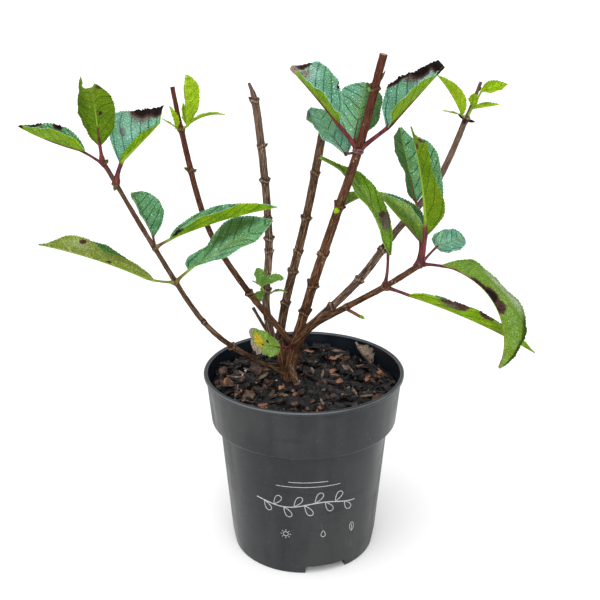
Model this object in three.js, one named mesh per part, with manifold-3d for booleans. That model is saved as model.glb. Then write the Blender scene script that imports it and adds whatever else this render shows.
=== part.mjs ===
// A young panicle hydrangea, cut back to seven canes, in the plastic pot it was grown in.
// Units are millimetres, +Z is up, and the origin is the middle of the pot's flat underside.
// Every cane, leaf and shoot is a mesh of its own, and keeps CLEAR from whatever carries it.
import * as THREE from 'three';
import { mergeVertices } from 'three/addons/utils/BufferGeometryUtils.js';
import Module from 'manifold-3d';

const wasm = await Module();
wasm.setup();

// ---- driving dimensions ----

const CLEAR = 0.3;
const TURN = 2 * Math.PI;
const DEGREE = Math.PI / 180;

const POT = {
  height: 181.9,
  wall: 1.4,
  floor: 2.4,
  rimRadius: 95,
  lipInner: 91,
  lipUnder: 177.8,
  collarTop: 92.7,
  collarFoot: 88.6,
  collarFootZ: 135.3,
  neck: 80.9,
  neckZ: 129.9,
  body: 71.2,
  bodyZ: 15.4,
  foot: 68.8,
  footFlat: 67.4,
  shoulderOut: 3.4,
  shoulderUp: 2.2,
  lipEdge: 0.9,
  segments: 54,
};

// Three arched notches round the foot let the pot drain. A pad inside the pot roofs each one.
const NOTCH = {
  count: 3,
  first: -72 * DEGREE,
  width: 40,
  rise: 8,
  corner: 3,
  depth: 15,
  holeLength: 18,
  holeWidth: 7,
  holeInset: 3,
};

const COMPOST = {
  level: 165,
  edge: 89.2,
  bump: 1.3,
  tilt: 1.6,
  rings: [16, 27, 38, 49, 60, 70, 80],
  segments: 30,
  flat: 17,
  flatCentre: [-14, 12],
};

// The woody crown: a leaning main stem, and a fork that carries the three canes at the back.
const CROWN = [
  {
    points: [[-14, 13, 165], [-12, 12, 186], [-3, 10, 213]],
    radii: [[0, 9.6], [12, 7.4], [40, 6.6], [50, 6.2]],
  },
  {
    points: [[-17, 16, 165], [-20, 20, 180], [-24, 26, 200]],
    radii: [[0, 8.6], [15, 7.2], [38, 6.6]],
  },
];

const CROWN_SIDES = 10;

// Canes: the points that each one passes, its radius at distances from the foot,
// and how far up its nodes sit. The bark swells round a node by its share of the radius.
const CANES = {
  tall_cane: {
    points: [[-8, 8, 204], [8, 0, 265], [31, -12, 343], [46, -21, 394], [64, -35, 475]],
    radii: [[0, 4.8], [90, 4.3], [150, 4.0], [200, 3.7], [284, 3.4]],
    nodes: [35, 64, 97, 146, 200, 255],
    swell: 0.22,
  },
  right_cane: {
    points: [[-6, 13, 208], [51, 31, 258], [89, 46, 305], [125, 59, 346], [153, 75, 405], [166, 80, 439]],
    radii: [[0, 3.9], [110, 3.6], [200, 3.1], [262, 2.9], [270, 1.8], [300, 1.5]],
    nodes: [43, 80, 116, 264],
    swell: 0.28,
  },
  low_right_cane: {
    points: [[-8, 4, 205], [8, -5, 227], [38, -20, 251], [70, -37, 276], [101, -55, 304]],
    radii: [[0, 3.4], [70, 2.8], [150, 2.5]],
    nodes: [71, 115, 157],
    swell: 0.3,
  },
  left_cane: {
    points: [[-13, 12, 205], [-51, 19, 250], [-88, 28, 309], [-112, 40, 402], [-119, 45, 439]],
    radii: [[0, 3.0], [100, 2.7], [225, 2.6], [230, 2.2], [264, 2.0]],
    nodes: [60, 188, 226],
    swell: 0.32,
  },
  back_right_cane: {
    points: [[-25, 30, 190], [-18, 36, 233], [2, 49, 315], [18, 62, 397]],
    radii: [[0, 4.2], [130, 4.0], [214, 3.9]],
    nodes: [45, 77, 97, 130, 173],
    swell: 0.2,
  },
  back_left_cane: {
    points: [[-27, 23, 188], [-36, 28, 232], [-33, 35, 300], [-45, 48, 427], [-50, 50, 442]],
    radii: [[0, 3.7], [130, 3.6], [238, 3.6], [243, 3.0], [258, 1.2]],
    nodes: [63, 101, 113, 132, 168, 200, 241],
    swell: 0.2,
  },
  low_left_cane: {
    points: [[-19, 12, 171], [-66, 0, 203], [-92, -6, 230], [-132, -20, 306], [-170, -35, 388]],
    radii: [[0, 2.6], [100, 2.3], [276, 1.9]],
    nodes: [60, 98, 146, 184, 252, 275],
    swell: 0.34,
  },
};

const CANE = { sides: 8, spacing: 20, nodeReach: 5, nodeSpread: 3, closest: 2.5 };

// Cut stubs and side twigs, which meet the cane or the crown they grew from.
const STUBS = {
  grey_stub: { points: [[-33, 27, 204], [-49, 30, 232]], radii: [[0, 1.7], [33, 1.5]] },
  front_stub: { points: [[-13, 8, 180], [-6.5, -11, 170]], radii: [[0, 3.6], [22, 3.1]] },
  side_twig: { points: [[37, -20, 250], [51, -26, 244]], radii: [[0, 1.7], [16, 1.4]] },
};

// Leaves. Each leaves its cane (on) some way up it (along), on a stalk with a bearing, a rise
// and a length, and ends in a blade with a bearing, a rise, a length and a width. Bearings turn
// from +X towards +Y. fold lifts the left and the right half, bend curls the blade towards its
// underside, roll turns it about its length, widest above 1 puts its widest place nearer the tip,
// and cut is the share of the blade that scorching has left.
const LEAVES = {
  leaf_left_tip: {
    on: 'low_left_cane', along: 269, stalk: [-158, 41, 22],
    blade: [-165, 16, 56, 30], fold: [45, 75], bend: -16,
  },
  leaf_left_upright: {
    on: 'low_left_cane', along: 275, stalk: [-86, 60, 16],
    blade: [-86, 74, 62, 32], fold: [14, 14], bend: 12,
  },
  leaf_left_scorched: {
    on: 'low_left_cane', along: 252, stalk: [50, 72, 18],
    blade: [4, 43, 84, 66], fold: [72, 80], cut: 0.58,
  },
  leaf_left_back: {
    on: 'low_left_cane', along: 184, stalk: [100, 15, 20],
    blade: [130, 44, 49, 40], fold: [50, 22],
  },
  leaf_left_inner: {
    on: 'low_left_cane', along: 184, stalk: [-9, 34, 17],
    blade: [7, 22, 99, 30], fold: [40, 62], bend: 14,
  },
  leaf_left_low: {
    on: 'low_left_cane', along: 146, stalk: [-155, 10, 21],
    blade: [-163, 31, 105, 42], fold: [60, 45], bend: 14, widest: 1.6,
  },
  leaf_left_broad: {
    on: 'low_left_cane', along: 146, stalk: [-26, 45, 19],
    blade: [4, 34, 88, 36], fold: [15, 15], roll: 24, bend: 10, widest: 1.05,
  },
  leaf_tall_left: {
    on: 'tall_cane', along: 200, stalk: [-159, 51, 31],
    blade: [-162, 51, 62, 46], fold: [8, 75],
  },
  leaf_tall_right: {
    on: 'tall_cane', along: 200, stalk: [-16, 39, 32],
    blade: [-16, 49, 68, 48], fold: [75, 20],
  },
  leaf_tall_back: {
    on: 'tall_cane', along: 200, stalk: [110, 28, 12],
    blade: [60, 66, 52, 44], fold: [18, 10],
  },
  leaf_tall_side: {
    on: 'tall_cane', along: 200, stalk: [125, -25, 18],
    blade: [135, 42, 56, 38], fold: [10, 10],
  },
  leaf_tall_low: {
    on: 'tall_cane', along: 146, stalk: [52, 0, 8],
    blade: [56, 2, 42, 20], fold: [30, 30],
  },
  leaf_right_rising: {
    on: 'low_right_cane', along: 115, stalk: [60, 71, 28],
    blade: [135, 71, 119, 27], fold: [22, 45], bend: 60,
  },
  leaf_right_inner: {
    on: 'low_right_cane', along: 150, stalk: [20, 70, 22],
    blade: [157, 44, 60, 38], fold: [60, 40],
  },
  leaf_right_upright: {
    on: 'low_right_cane', along: 157, stalk: [-62, 78, 28], stout: 1.5,
    blade: [-172, 87, 93, 38], fold: [55, 50], bend: 15, widest: 0.66,
  },
  leaf_right_drooping: {
    on: 'low_right_cane', along: 157, stalk: [-30, 8, 20],
    blade: [0, -15, 122, 40], fold: [30, 85], bend: 90, widest: 1.2,
  },
  leaf_right_low: {
    on: 'low_right_cane', along: 115, stalk: [-14, -15, 22],
    blade: [2, -20, 130, 26], fold: [40, 60], bend: 12,
  },
  leaf_right_small: {
    on: 'low_right_cane', along: 157, stalk: [50, 25, 25],
    blade: [36, 4, 35, 26], fold: [10, 10], roll: 35,
  },
  leaf_right_back: {
    on: 'right_cane', along: 170, stalk: [100, 10, 8],
    blade: [116, 64, 75, 56], fold: [30, 6],
  },
  base_leaf: {
    on: 'crown', from: [-10.6, 9.6, 200], stalk: [-133, 12, 17],
    blade: [-153, 24, 36, 29], fold: [2, 5], roll: -36,
  },
};

// Young shoots: short leafy masses at the nodes of the canes. A leaf roots at the end of the
// shoot's stem, or at a share of its length.
const SHOOTS = {
  shoot_left_cane_right: {
    on: 'left_cane', along: 226, stem: [-10, 30, 8],
    leaves: [
      { blade: [-80, 82, 47, 24], fold: [5, 75] },
      { blade: [-4, 42, 38, 8], fold: [30, 30], bend: 50 },
      { blade: [114, 62, 22, 7], fold: [20, 20] },
    ],
  },
  shoot_left_cane_left: {
    on: 'left_cane', along: 226, stem: [-150, 20, 6],
    leaves: [
      { blade: [-134, 71, 22, 10], fold: [30, 30] },
      { blade: [-170, 35, 16, 5], fold: [20, 20] },
    ],
  },
  shoot_right_cane_left: {
    on: 'right_cane', along: 264, stem: [-150, 40, 8],
    leaves: [
      { blade: [-150, 60, 50, 22], fold: [30, 30], bend: 18 },
      { blade: [-158, 14, 22, 6], fold: [20, 20] },
    ],
  },
  shoot_right_cane_right: {
    on: 'right_cane', along: 264, stem: [-8, 64, 30],
    leaves: [
      { blade: [8, 14, 26, 16], fold: [20, 20], roll: 40 },
      { blade: [-100, 60, 15, 10], fold: [20, 20], root: 0.5 },
      { blade: [-18, 12, 26, 11], fold: [20, 20], roll: 20, root: 0.4 },
    ],
  },
  shoot_back_left_cane_left: {
    on: 'back_left_cane', along: 57, stem: [-128, 62, 16],
    leaves: [
      { blade: [-140, 74, 20, 12], fold: [20, 20] },
      { blade: [-175, 35, 11, 5], fold: [20, 20], root: 0.9 },
      { blade: [-35, 50, 25, 14], fold: [20, 20], bend: 40 },
      { blade: [172, 18, 14, 10], fold: [20, 20], root: 0.62 },
    ],
  },
  shoot_back_left_cane_right: {
    on: 'back_left_cane', along: 58, stem: [-10, 30, 7],
    leaves: [{ blade: [0, 25, 16, 6], fold: [20, 20], bend: 45 }],
  },
};

const LEAF = {
  steps: 9,
  stalkRadius: 1.3,
  stalkSteps: 4,
  stalkSides: 6,
  ribShare: 0.32,
  ribDrop: 0.4,
  thickness: 0.9,
  thicknessShare: 1 / 90,
  widest: 0.8,
  fullness: 0.85,
  tipHalfWidth: 0.45,
};

const SHOOT = { stemRadius: 1.4, steps: 6 };

const DRY_LEAF = { from: [68, 49, 163.9], blade: [155, 30, 28, 22], fold: [34, 34], bend: -40 };

const COLOURS = {
  pot: 0x46484a,
  compost: 0x2a2120,
  bark: 0x5b3d31,
  greyBark: 0x77695c,
  leaf: 0x5d8f3c,
  youngLeaf: 0x8fbf2a,
  dryLeaf: 0xa98a68,
};

// ---- small helpers ----

const vector = (p) => new THREE.Vector3(...p);

function direction(bearing, rise) {
  const flat = Math.cos(rise * DEGREE);
  return new THREE.Vector3(
    flat * Math.cos(bearing * DEGREE),
    flat * Math.sin(bearing * DEGREE),
    Math.sin(rise * DEGREE),
  );
}

// A value read off a list of [place, value] pairs, straight between them.
function readOff(pairs, place) {
  let before = pairs[0];
  for (const after of pairs) {
    if (place <= after[0]) {
      const share = after[0] === before[0] ? 0 : (place - before[0]) / (after[0] - before[0]);
      return before[1] + share * (after[1] - before[1]);
    }
    before = after;
  }
  return before[1];
}

function solidOf(geometry) {
  const bare = geometry.clone();
  bare.deleteAttribute('normal');
  bare.deleteAttribute('uv');
  const merged = mergeVertices(bare, 1e-4);
  return new wasm.Manifold(new wasm.Mesh({
    numProp: 3,
    vertProperties: new Float32Array(merged.attributes.position.array),
    triVerts: new Uint32Array(merged.index.array),
  }));
}

function geometryOf(solid) {
  const mesh = solid.getMesh();
  const geometry = new THREE.BufferGeometry();
  const place = new THREE.BufferAttribute(new Float32Array(mesh.vertProperties), 3);
  geometry.setAttribute('position', place);
  geometry.setIndex(new THREE.BufferAttribute(new Uint32Array(mesh.triVerts), 1));
  geometry.computeVertexNormals();
  return geometry;
}

// A closed solid from rings of points, each ring with the same count, with a fan at either end.
function loft(rings) {
  const sides = rings[0].length;
  const positions = rings.flat().flatMap((p) => [p.x, p.y, p.z]);
  const index = [];
  for (let i = 0; i + 1 < rings.length; i++) {
    for (let j = 0; j < sides; j++) {
      const a = i * sides + j;
      const b = i * sides + (j + 1) % sides;
      index.push(a, b, b + sides, a, b + sides, a + sides);
    }
  }
  const last = (rings.length - 1) * sides;
  for (let j = 1; j + 1 < sides; j++) {
    index.push(0, j + 1, j);
    index.push(last, last + j, last + j + 1);
  }
  const geometry = new THREE.BufferGeometry();
  geometry.setAttribute('position', new THREE.Float32BufferAttribute(positions, 3));
  geometry.setIndex(index);
  return geometry;
}

// A round limb along a curve, its radius given for each distance from the foot. A limb that is
// grown runs on past both ends by as much.
function limb(curve, places, radiusAt, sides, past = 0) {
  const length = curve.getLength();
  const across = new THREE.Vector3(1, 0, 0);
  const rings = places.map((place) => {
    const share = Math.min(place / length, 1);
    const along = curve.getTangentAt(share);
    const end = place === 0 ? -past : 0;
    const centre = curve.getPointAt(share).addScaledVector(along, share === 1 ? past : end);
    across.addScaledVector(along, -across.dot(along)).normalize();
    const third = new THREE.Vector3().crossVectors(along, across);
    const radius = radiusAt(place);
    return Array.from({ length: sides }, (_, k) => {
      const angle = TURN * k / sides;
      return centre.clone()
        .addScaledVector(across, radius * Math.cos(angle))
        .addScaledVector(third, radius * Math.sin(angle));
    });
  });
  return loft(rings);
}

const curveThrough = (points) => new THREE.CatmullRomCurve3(points.map(vector), false, 'centripetal');

// ---- the pot and its compost ----

function potInside(gap) {
  const under = POT.wall + gap;
  return [
    [0, POT.floor + gap],
    [POT.footFlat - under, POT.floor + gap],
    [POT.body - under, POT.bodyZ],
    [POT.neck - under, POT.neckZ],
    [POT.collarFoot - under, POT.collarFootZ],
  ];
}

function lathe(profile) {
  const points = profile.map(([radius, z]) => new THREE.Vector2(radius, z));
  return new THREE.LatheGeometry(points, POT.segments).rotateX(Math.PI / 2);
}

// An arched block that lies along +X from the pot's foot inwards, its floor at z = bottom.
function notchBlock(grow, bottom, depth) {
  const half = NOTCH.width / 2 + grow;
  const top = NOTCH.rise + grow;
  const corner = NOTCH.corner + grow;
  const arch = new THREE.Shape();
  arch.moveTo(-half, bottom);
  arch.lineTo(half, bottom);
  arch.lineTo(half, top - corner);
  arch.absarc(half - corner, top - corner, corner, 0, Math.PI / 2);
  arch.absarc(corner - half, top - corner, corner, Math.PI / 2, Math.PI);
  const reach = POT.body + 4 - (POT.foot - depth);
  return new THREE.ExtrudeGeometry(arch, { depth: reach, bevelEnabled: false, curveSegments: 3 })
    .rotateX(Math.PI / 2)
    .rotateZ(Math.PI / 2)
    .translate(POT.foot - depth, 0, 0);
}

function roundTheFoot(geometry) {
  return Array.from({ length: NOTCH.count }, (_, k) => (
    solidOf(geometry.clone().rotateZ(NOTCH.first + TURN * k / NOTCH.count))
  ));
}

function drainHole() {
  const middle = POT.foot - NOTCH.depth / 2 - NOTCH.holeInset;
  return new THREE.CylinderGeometry(NOTCH.holeWidth / 2, NOTCH.holeWidth / 2, 8, 10)
    .rotateX(Math.PI / 2)
    .scale(1, NOTCH.holeLength / NOTCH.holeWidth, 1)
    .translate(middle, 0, NOTCH.rise);
}

function potSolid() {
  const wallAtLip = POT.collarTop - POT.wall;
  const outside = [
    [0, 0],
    [POT.footFlat, 0],
    [POT.foot, POT.wall],
    [POT.body, POT.bodyZ],
    [POT.neck, POT.neckZ],
    [POT.neck + POT.shoulderOut, POT.neckZ + POT.shoulderUp],
    [POT.collarFoot, POT.collarFootZ],
    [POT.collarTop, POT.lipUnder - POT.lipEdge / 2],
    [POT.rimRadius, POT.lipUnder + POT.lipEdge],
    [POT.rimRadius, POT.height - POT.lipEdge],
    [POT.rimRadius - POT.lipEdge, POT.height],
    [POT.lipInner + POT.lipEdge, POT.height],
    [POT.lipInner, POT.height - POT.lipEdge],
    [0, POT.height - POT.lipEdge],
  ];
  const above = POT.height + 5;
  const hollow = [...potInside(0), [wallAtLip, POT.lipUnder], [POT.lipInner, above], [0, above]];
  let inside = solidOf(lathe(hollow));
  for (const pad of roundTheFoot(notchBlock(POT.wall, -1, NOTCH.depth + POT.wall))) {
    inside = inside.subtract(pad);
  }
  let pot = solidOf(lathe(outside)).subtract(inside);
  for (const notch of roundTheFoot(notchBlock(0, -1, NOTCH.depth))) {
    pot = pot.subtract(notch);
  }
  for (const hole of roundTheFoot(drainHole())) {
    pot = pot.subtract(hole);
  }
  return pot;
}

// How far the bark compost heaps above its level, with a flat patch where the crown stands.
function heap(x, y) {
  const away = Math.hypot(x - COMPOST.flatCentre[0], y - COMPOST.flatCentre[1]);
  const fade = Math.min(Math.max((away - COMPOST.flat) / 12, 0), 1);
  const bumps = Math.sin(x * 0.21 + 1.3) * Math.cos(y * 0.18 - 0.4) + 0.6 * Math.sin((x + y) * 0.33);
  const slope = (-x * 0.6 - y * 0.8) / COMPOST.edge;
  return fade * (COMPOST.bump * bumps + COMPOST.tilt * slope) - CLEAR;
}

function compostSolid() {
  const sides = [
    ...potInside(2 * CLEAR),
    [COMPOST.edge, COMPOST.level - CLEAR - 1],
  ];
  const top = [...COMPOST.rings].reverse().map((radius) => [radius, COMPOST.level]);
  const profile = [...sides, ...top, [0, COMPOST.level]].map((point) => new THREE.Vector2(...point));
  const geometry = new THREE.LatheGeometry(profile, COMPOST.segments).rotateX(Math.PI / 2);
  const place = geometry.attributes.position;
  for (let i = 0; i < place.count; i++) {
    if (place.getZ(i) > COMPOST.level - 0.5) {
      place.setZ(i, COMPOST.level + heap(place.getX(i), place.getY(i)));
    }
  }
  let compost = solidOf(geometry);
  for (const pad of roundTheFoot(notchBlock(POT.wall + CLEAR, -1, NOTCH.depth + POT.wall + CLEAR))) {
    compost = compost.subtract(pad);
  }
  return compost;
}

// ---- crown, canes and stubs ----

function crownSolid(grow) {
  const parts = CROWN.map(({ points, radii }) => {
    const curve = curveThrough(points);
    const length = curve.getLength();
    const places = [0, 0.25, 0.5, 0.75, 1].map((share) => share * length);
    return solidOf(limb(curve, places, (place) => readOff(radii, place) + grow, CROWN_SIDES, grow));
  });
  const joined = parts[0].add(parts[1]);
  const below = new THREE.BoxGeometry(60, 60, 20).translate(-16, 14, COMPOST.level - 10);
  return grow > 0 ? joined : joined.subtract(solidOf(below));
}

const caneCurve = (cane) => curveThrough(cane.points);

function caneRadius(cane, place) {
  const near = (node) => Math.exp(-(((place - node) / CANE.nodeSpread) ** 2));
  const swelling = cane.nodes.reduce((sum, node) => sum + near(node), 0);
  return readOff(cane.radii, place) * (1 + cane.swell * Math.min(swelling, 1));
}

// Where a cane's rings go: both ends, three to a node, one at each named radius, and even ones
// between that keep away from those.
function canePlaces(cane, length) {
  const count = Math.round(length / CANE.spacing);
  const even = Array.from({ length: count - 1 }, (_, k) => length * (k + 1) / count);
  const near = cane.nodes.flatMap((node) => [node - CANE.nodeReach, node, node + CANE.nodeReach]);
  const marks = cane.radii.slice(1, -1).map(([place]) => place);
  const wanted = [...near, ...marks].filter((place) => place > CANE.closest && place < length - 1);
  const apart = even.filter((place) => wanted.every((other) => Math.abs(other - place) > CANE.nodeReach));
  const places = [0, ...apart, ...wanted, length].sort((a, b) => a - b);
  return places.filter((place, k) => k === 0 || place - places[k - 1] > CANE.closest / 3);
}

function caneSolid(cane, grow) {
  const curve = caneCurve(cane);
  const places = canePlaces(cane, curve.getLength());
  const radiusAt = (place) => caneRadius(cane, place) + grow;
  return solidOf(limb(curve, places, radiusAt, CANE.sides, grow));
}

function stubSolid(stub) {
  const curve = new THREE.LineCurve3(vector(stub.points[0]), vector(stub.points[1]));
  const length = curve.getLength();
  return solidOf(limb(curve, [0, length / 2, length], (place) => readOff(stub.radii, place), 7));
}

// ---- leaves and shoots ----

// The frame of a blade at its root: forward along the midrib, up out of its upper face, and left.
function bladeFrame(bearing, rise, roll) {
  const forward = direction(bearing, rise);
  const up = new THREE.Vector3(0, 0, 1);
  up.addScaledVector(forward, -up.dot(forward)).normalize();
  up.applyAxisAngle(forward, roll * DEGREE);
  const left = new THREE.Vector3().crossVectors(up, forward);
  return { forward, up, left };
}

function halfWidth(width, share, widest) {
  const full = Math.sin(Math.PI * share ** widest) ** LEAF.fullness;
  return Math.max(width / 2 * full, LEAF.tipHalfWidth);
}

// Stations down the blade, each with its midrib point, its frame and its half width.
function bladeStations(leaf, root, steps) {
  const [bearing, rise, length, width] = leaf.blade;
  const { bend = 0, roll = 0, cut = 1, widest = LEAF.widest } = leaf;
  const { forward, up, left } = bladeFrame(bearing, rise, roll);
  const step = length * cut / steps;
  const place = root.clone();
  const turn = bend * DEGREE * cut / steps;
  return Array.from({ length: steps + 1 }, (_, k) => {
    const half = halfWidth(width, cut * k / steps, widest);
    const station = { place: place.clone(), up: up.clone(), left: left.clone(), half };
    forward.applyAxisAngle(left, turn);
    up.applyAxisAngle(left, turn);
    place.addScaledVector(forward, step);
    return station;
  });
}

function bladeSolid(leaf, stations) {
  const thick = Math.max(LEAF.thickness, leaf.blade[2] * LEAF.thicknessShare);
  const [foldLeft, foldRight] = leaf.fold.map((angle) => angle * DEGREE);
  const rings = stations.map(({ place, up, left, half }) => {
    const leftEdge = place.clone()
      .addScaledVector(left, half * Math.cos(foldLeft))
      .addScaledVector(up, half * Math.sin(foldLeft));
    const rightEdge = place.clone()
      .addScaledVector(left, -half * Math.cos(foldRight))
      .addScaledVector(up, half * Math.sin(foldRight));
    const leftUp = up.clone()
      .multiplyScalar(Math.cos(foldLeft))
      .addScaledVector(left, -Math.sin(foldLeft));
    const rightUp = up.clone()
      .multiplyScalar(Math.cos(foldRight))
      .addScaledVector(left, Math.sin(foldRight));
    const steep = Math.max(Math.cos((foldLeft + foldRight) / 2), 0.4);
    const at = (point, normal, side) => point.clone().addScaledVector(normal, side * thick / 2);
    return [
      at(leftEdge, leftUp, 1),
      at(place, up, 1 / steep),
      at(rightEdge, rightUp, 1),
      at(rightEdge, rightUp, -1),
      at(place, up, -1 / steep),
      at(leftEdge, leftUp, -1),
    ];
  });
  return solidOf(loft(rings));
}

// A stalk that runs on under the blade as its midrib, thinning to half.
function stalkSolid(start, stations, radius) {
  const ribEnd = Math.round(LEAF.ribShare * LEAF.steps);
  const rib = stations.slice(0, ribEnd + 1).map(({ place, up }) => (
    place.clone().addScaledVector(up, -LEAF.ribDrop)
  ));
  const curve = new THREE.CatmullRomCurve3([start, ...rib], false, 'centripetal');
  const length = curve.getLength();
  const count = LEAF.stalkSteps + ribEnd;
  const places = Array.from({ length: count + 1 }, (_, k) => length * k / count);
  return solidOf(limb(curve, places, (place) => radius * (1 - 0.5 * place / length), LEAF.stalkSides));
}

function startOf(piece) {
  if (piece.from) {
    return vector(piece.from);
  }
  const curve = caneCurve(CANES[piece.on]);
  return curve.getPointAt(Math.min(piece.along / curve.getLength(), 1));
}

function leafSolid(leaf) {
  const start = startOf(leaf);
  const [bearing, rise, length] = leaf.stalk;
  const root = start.clone().addScaledVector(direction(bearing, rise), length);
  const stations = bladeStations(leaf, root, LEAF.steps);
  const radius = LEAF.stalkRadius * (leaf.stout ?? 1);
  return bladeSolid(leaf, stations).add(stalkSolid(start, stations, radius));
}

// Each leaf of a shoot is fused on with its root sunk in the stem.
function shootSolid(shoot) {
  const start = startOf(shoot);
  const [bearing, rise, length] = shoot.stem;
  const along = direction(bearing, rise);
  const top = start.clone().addScaledVector(along, length);
  const curve = new THREE.LineCurve3(start, top);
  const stem = solidOf(limb(curve, [0, length], () => SHOOT.stemRadius, LEAF.stalkSides));
  return shoot.leaves.reduce((joined, leaf) => {
    const share = leaf.root ?? 1;
    const root = start.clone().addScaledVector(along, length * share - SHOOT.stemRadius);
    return joined.add(bladeSolid(leaf, bladeStations(leaf, root, SHOOT.steps)));
  }, stem);
}

function dryLeafSolid() {
  const stations = bladeStations(DRY_LEAF, vector(DRY_LEAF.from), LEAF.steps);
  return bladeSolid(DRY_LEAF, stations);
}

// ---- assembly ----

const shrub = new THREE.Group();

function addPiece(name, solid, colour, roughness) {
  const material = new THREE.MeshStandardMaterial({ color: colour, roughness, metalness: 0 });
  const mesh = new THREE.Mesh(geometryOf(solid), material);
  mesh.name = name;
  shrub.add(mesh);
}

addPiece('pot', potSolid(), COLOURS.pot, 0.5);
addPiece('compost', compostSolid(), COLOURS.compost, 1);
addPiece('crown', crownSolid(0), COLOURS.bark, 0.9);

// Each cane is cut clear of the crown, and of the canes before it where they crowd together.
const carriers = { crown: crownSolid(CLEAR) };
let taken = carriers.crown;
for (const [name, cane] of Object.entries(CANES)) {
  addPiece(name, caneSolid(cane, 0).subtract(taken), COLOURS.bark, 0.85);
  carriers[name] = caneSolid(cane, CLEAR);
  taken = taken.add(carriers[name]);
}

for (const [name, stub] of Object.entries(STUBS)) {
  addPiece(name, stubSolid(stub).subtract(taken), COLOURS.greyBark, 0.9);
}

for (const [name, leaf] of Object.entries(LEAVES)) {
  addPiece(name, leafSolid(leaf).subtract(carriers[leaf.on]), COLOURS.leaf, 0.6);
}

for (const [name, shoot] of Object.entries(SHOOTS)) {
  addPiece(name, shootSolid(shoot).subtract(carriers[shoot.on]), COLOURS.youngLeaf, 0.6);
}

addPiece('dry_leaf', dryLeafSolid(), COLOURS.dryLeaf, 0.9);

export default shrub;
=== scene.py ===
"""A young panicle hydrangea, cut back to seven canes, in its nursery pot.

The packed model is loaded as a fixed frame, and every leaf, cane and the pot is dressed with a
finer piece that keeps to the place of its node. Sizes in the tables are millimetres.
"""

import math
import random

import bpy
import numpy as np
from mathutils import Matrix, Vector, noise


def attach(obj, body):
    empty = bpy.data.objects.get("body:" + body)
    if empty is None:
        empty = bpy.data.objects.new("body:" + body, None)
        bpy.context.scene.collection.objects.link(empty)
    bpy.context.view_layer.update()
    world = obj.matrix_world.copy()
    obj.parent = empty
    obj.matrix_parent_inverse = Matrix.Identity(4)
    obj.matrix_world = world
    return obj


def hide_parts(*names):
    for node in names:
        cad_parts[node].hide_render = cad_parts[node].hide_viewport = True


bl_info = {
    "name": "Potted hydrangea",
    "version": (1, 0, 0),
    "blender": (4, 5, 0),
    "location": "View3D > Sidebar > Hydrangea",
    "description": "Dresses a potted hydrangea shrub piece by piece",
    "category": "Object",
}

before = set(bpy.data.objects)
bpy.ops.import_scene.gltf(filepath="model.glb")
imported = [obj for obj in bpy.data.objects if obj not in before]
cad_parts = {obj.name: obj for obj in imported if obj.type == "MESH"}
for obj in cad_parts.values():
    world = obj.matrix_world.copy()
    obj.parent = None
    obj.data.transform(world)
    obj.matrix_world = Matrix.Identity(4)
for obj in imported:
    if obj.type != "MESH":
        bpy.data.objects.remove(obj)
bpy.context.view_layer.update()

MM = 0.001
TURN = 2 * math.pi
BODY = "root"

# ---- the plant's sizes ----

# The pot: its heights above the ground, and its outer radii where no other is named.
POT = {
    "height": 181.9, "wall": 1.4, "floor": 2.4, "rim": 95.0, "lip_inner": 91.0, "lip_under": 177.8,
    "collar_top": 92.7, "collar_foot": 88.6, "collar_z": 135.3, "neck": 80.9, "neck_z": 129.9,
    "body": 71.2, "body_z": 15.4, "foot": 68.8, "foot_flat": 67.4,
}
# The notches in the pot's foot, with a drain hole through the roof of each.
NOTCH = {
    "count": 3, "first": -72, "width": 40, "rise": 8, "corner": 3, "depth": 15,
    "hole": (18, 7), "inset": 3, "outside": 4, "below": 6,
}
# Chips with a place of their own: right of the axis, behind it, the shade's number and the length.
CHIP_SPOTS = [(-21, -16, 3, 13), (28, 26, 3, 11), (62, 12, 3, 10), (74, 20, 3, 9), (33, 0, 3, 11),
              (38, -36, 3, 10), (-66, -6, 4, 15), (-40, 6, 4, 15), (-50, -32, 4, 17), (-62, -24, 4, 14),
              (14, 18, 5, 3), (-56, 8, 5, 3), (-58, -2, 5, 3), (55, 34, 4, 13), (46, 22, 4, 12),
              (44, 52, 2, 9), (-72, 20, 1, 14), (-60, 30, 1, 13), (20, 30, 1, 12), (8, 24, 1, 11)]
CHIP_SHAPES = 14
# The compost's top: its level and reach, its bumps and its tilt, the flat patch and how far it fades
# out, the distance that the tilt is spread over, and the crown's middle.
COMPOST = {"level": 165, "reach": 87.5, "bump": 1.3, "tilt": 1.6, "flat": 17, "fade": 12, "slope": 89.2,
           "middle": (-14, 12)}
# Where loose chips pile up: right of the axis, behind it, the pile's reach and its height.
PILES = [(-70, 10, 36, 7), (-40, 62, 34, 6), (16, 62, 26, 9), (48, 30, 18, 3), (-30, -60, 30, 2.5),
         (40, -50, 26, 2)]
# Shades of chips: how often each is drawn, its dark and its light colour. Slivers are narrow, and
# grit is small and round.
CHIPS = {
    "chip_black": (54, (0.003, 0.003, 0.0035), (0.015, 0.013, 0.015)),
    "chip_plum": (21, (0.011, 0.007, 0.007), (0.055, 0.036, 0.034)),
    "chip_brown": (14, (0.024, 0.012, 0.008), (0.120, 0.068, 0.045)),
    "chip_orange": (2, (0.15, 0.056, 0.028), (0.36, 0.17, 0.10)),
    "chip_tan": (8, (0.080, 0.052, 0.034), (0.26, 0.19, 0.13)),
    "chip_pale": (0.3, (0.45, 0.44, 0.42), (0.70, 0.70, 0.70)),
}
SLIVER, GRIT = 4, 5
DAMP = ((0.003, 0.003, 0.003), (0.012, 0.009, 0.009))

# The crown's two forks, each a line of points with radii at distances from its foot.
CROWN = [
    {"points": [(-14, 13, 165), (-12, 12, 186), (-3, 10, 213)],
     "radii": [(0, 7.6), (8, 5.4), (15, 4.4), (30, 4.4), (42, 5.2), (50, 5.2)]},
    {"points": [(-17, 16, 165), (-20, 20, 180), (-24, 26, 200)],
     "radii": [(0, 6.6), (8, 5.0), (14, 4.1), (38, 5.0)]},
]

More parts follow.
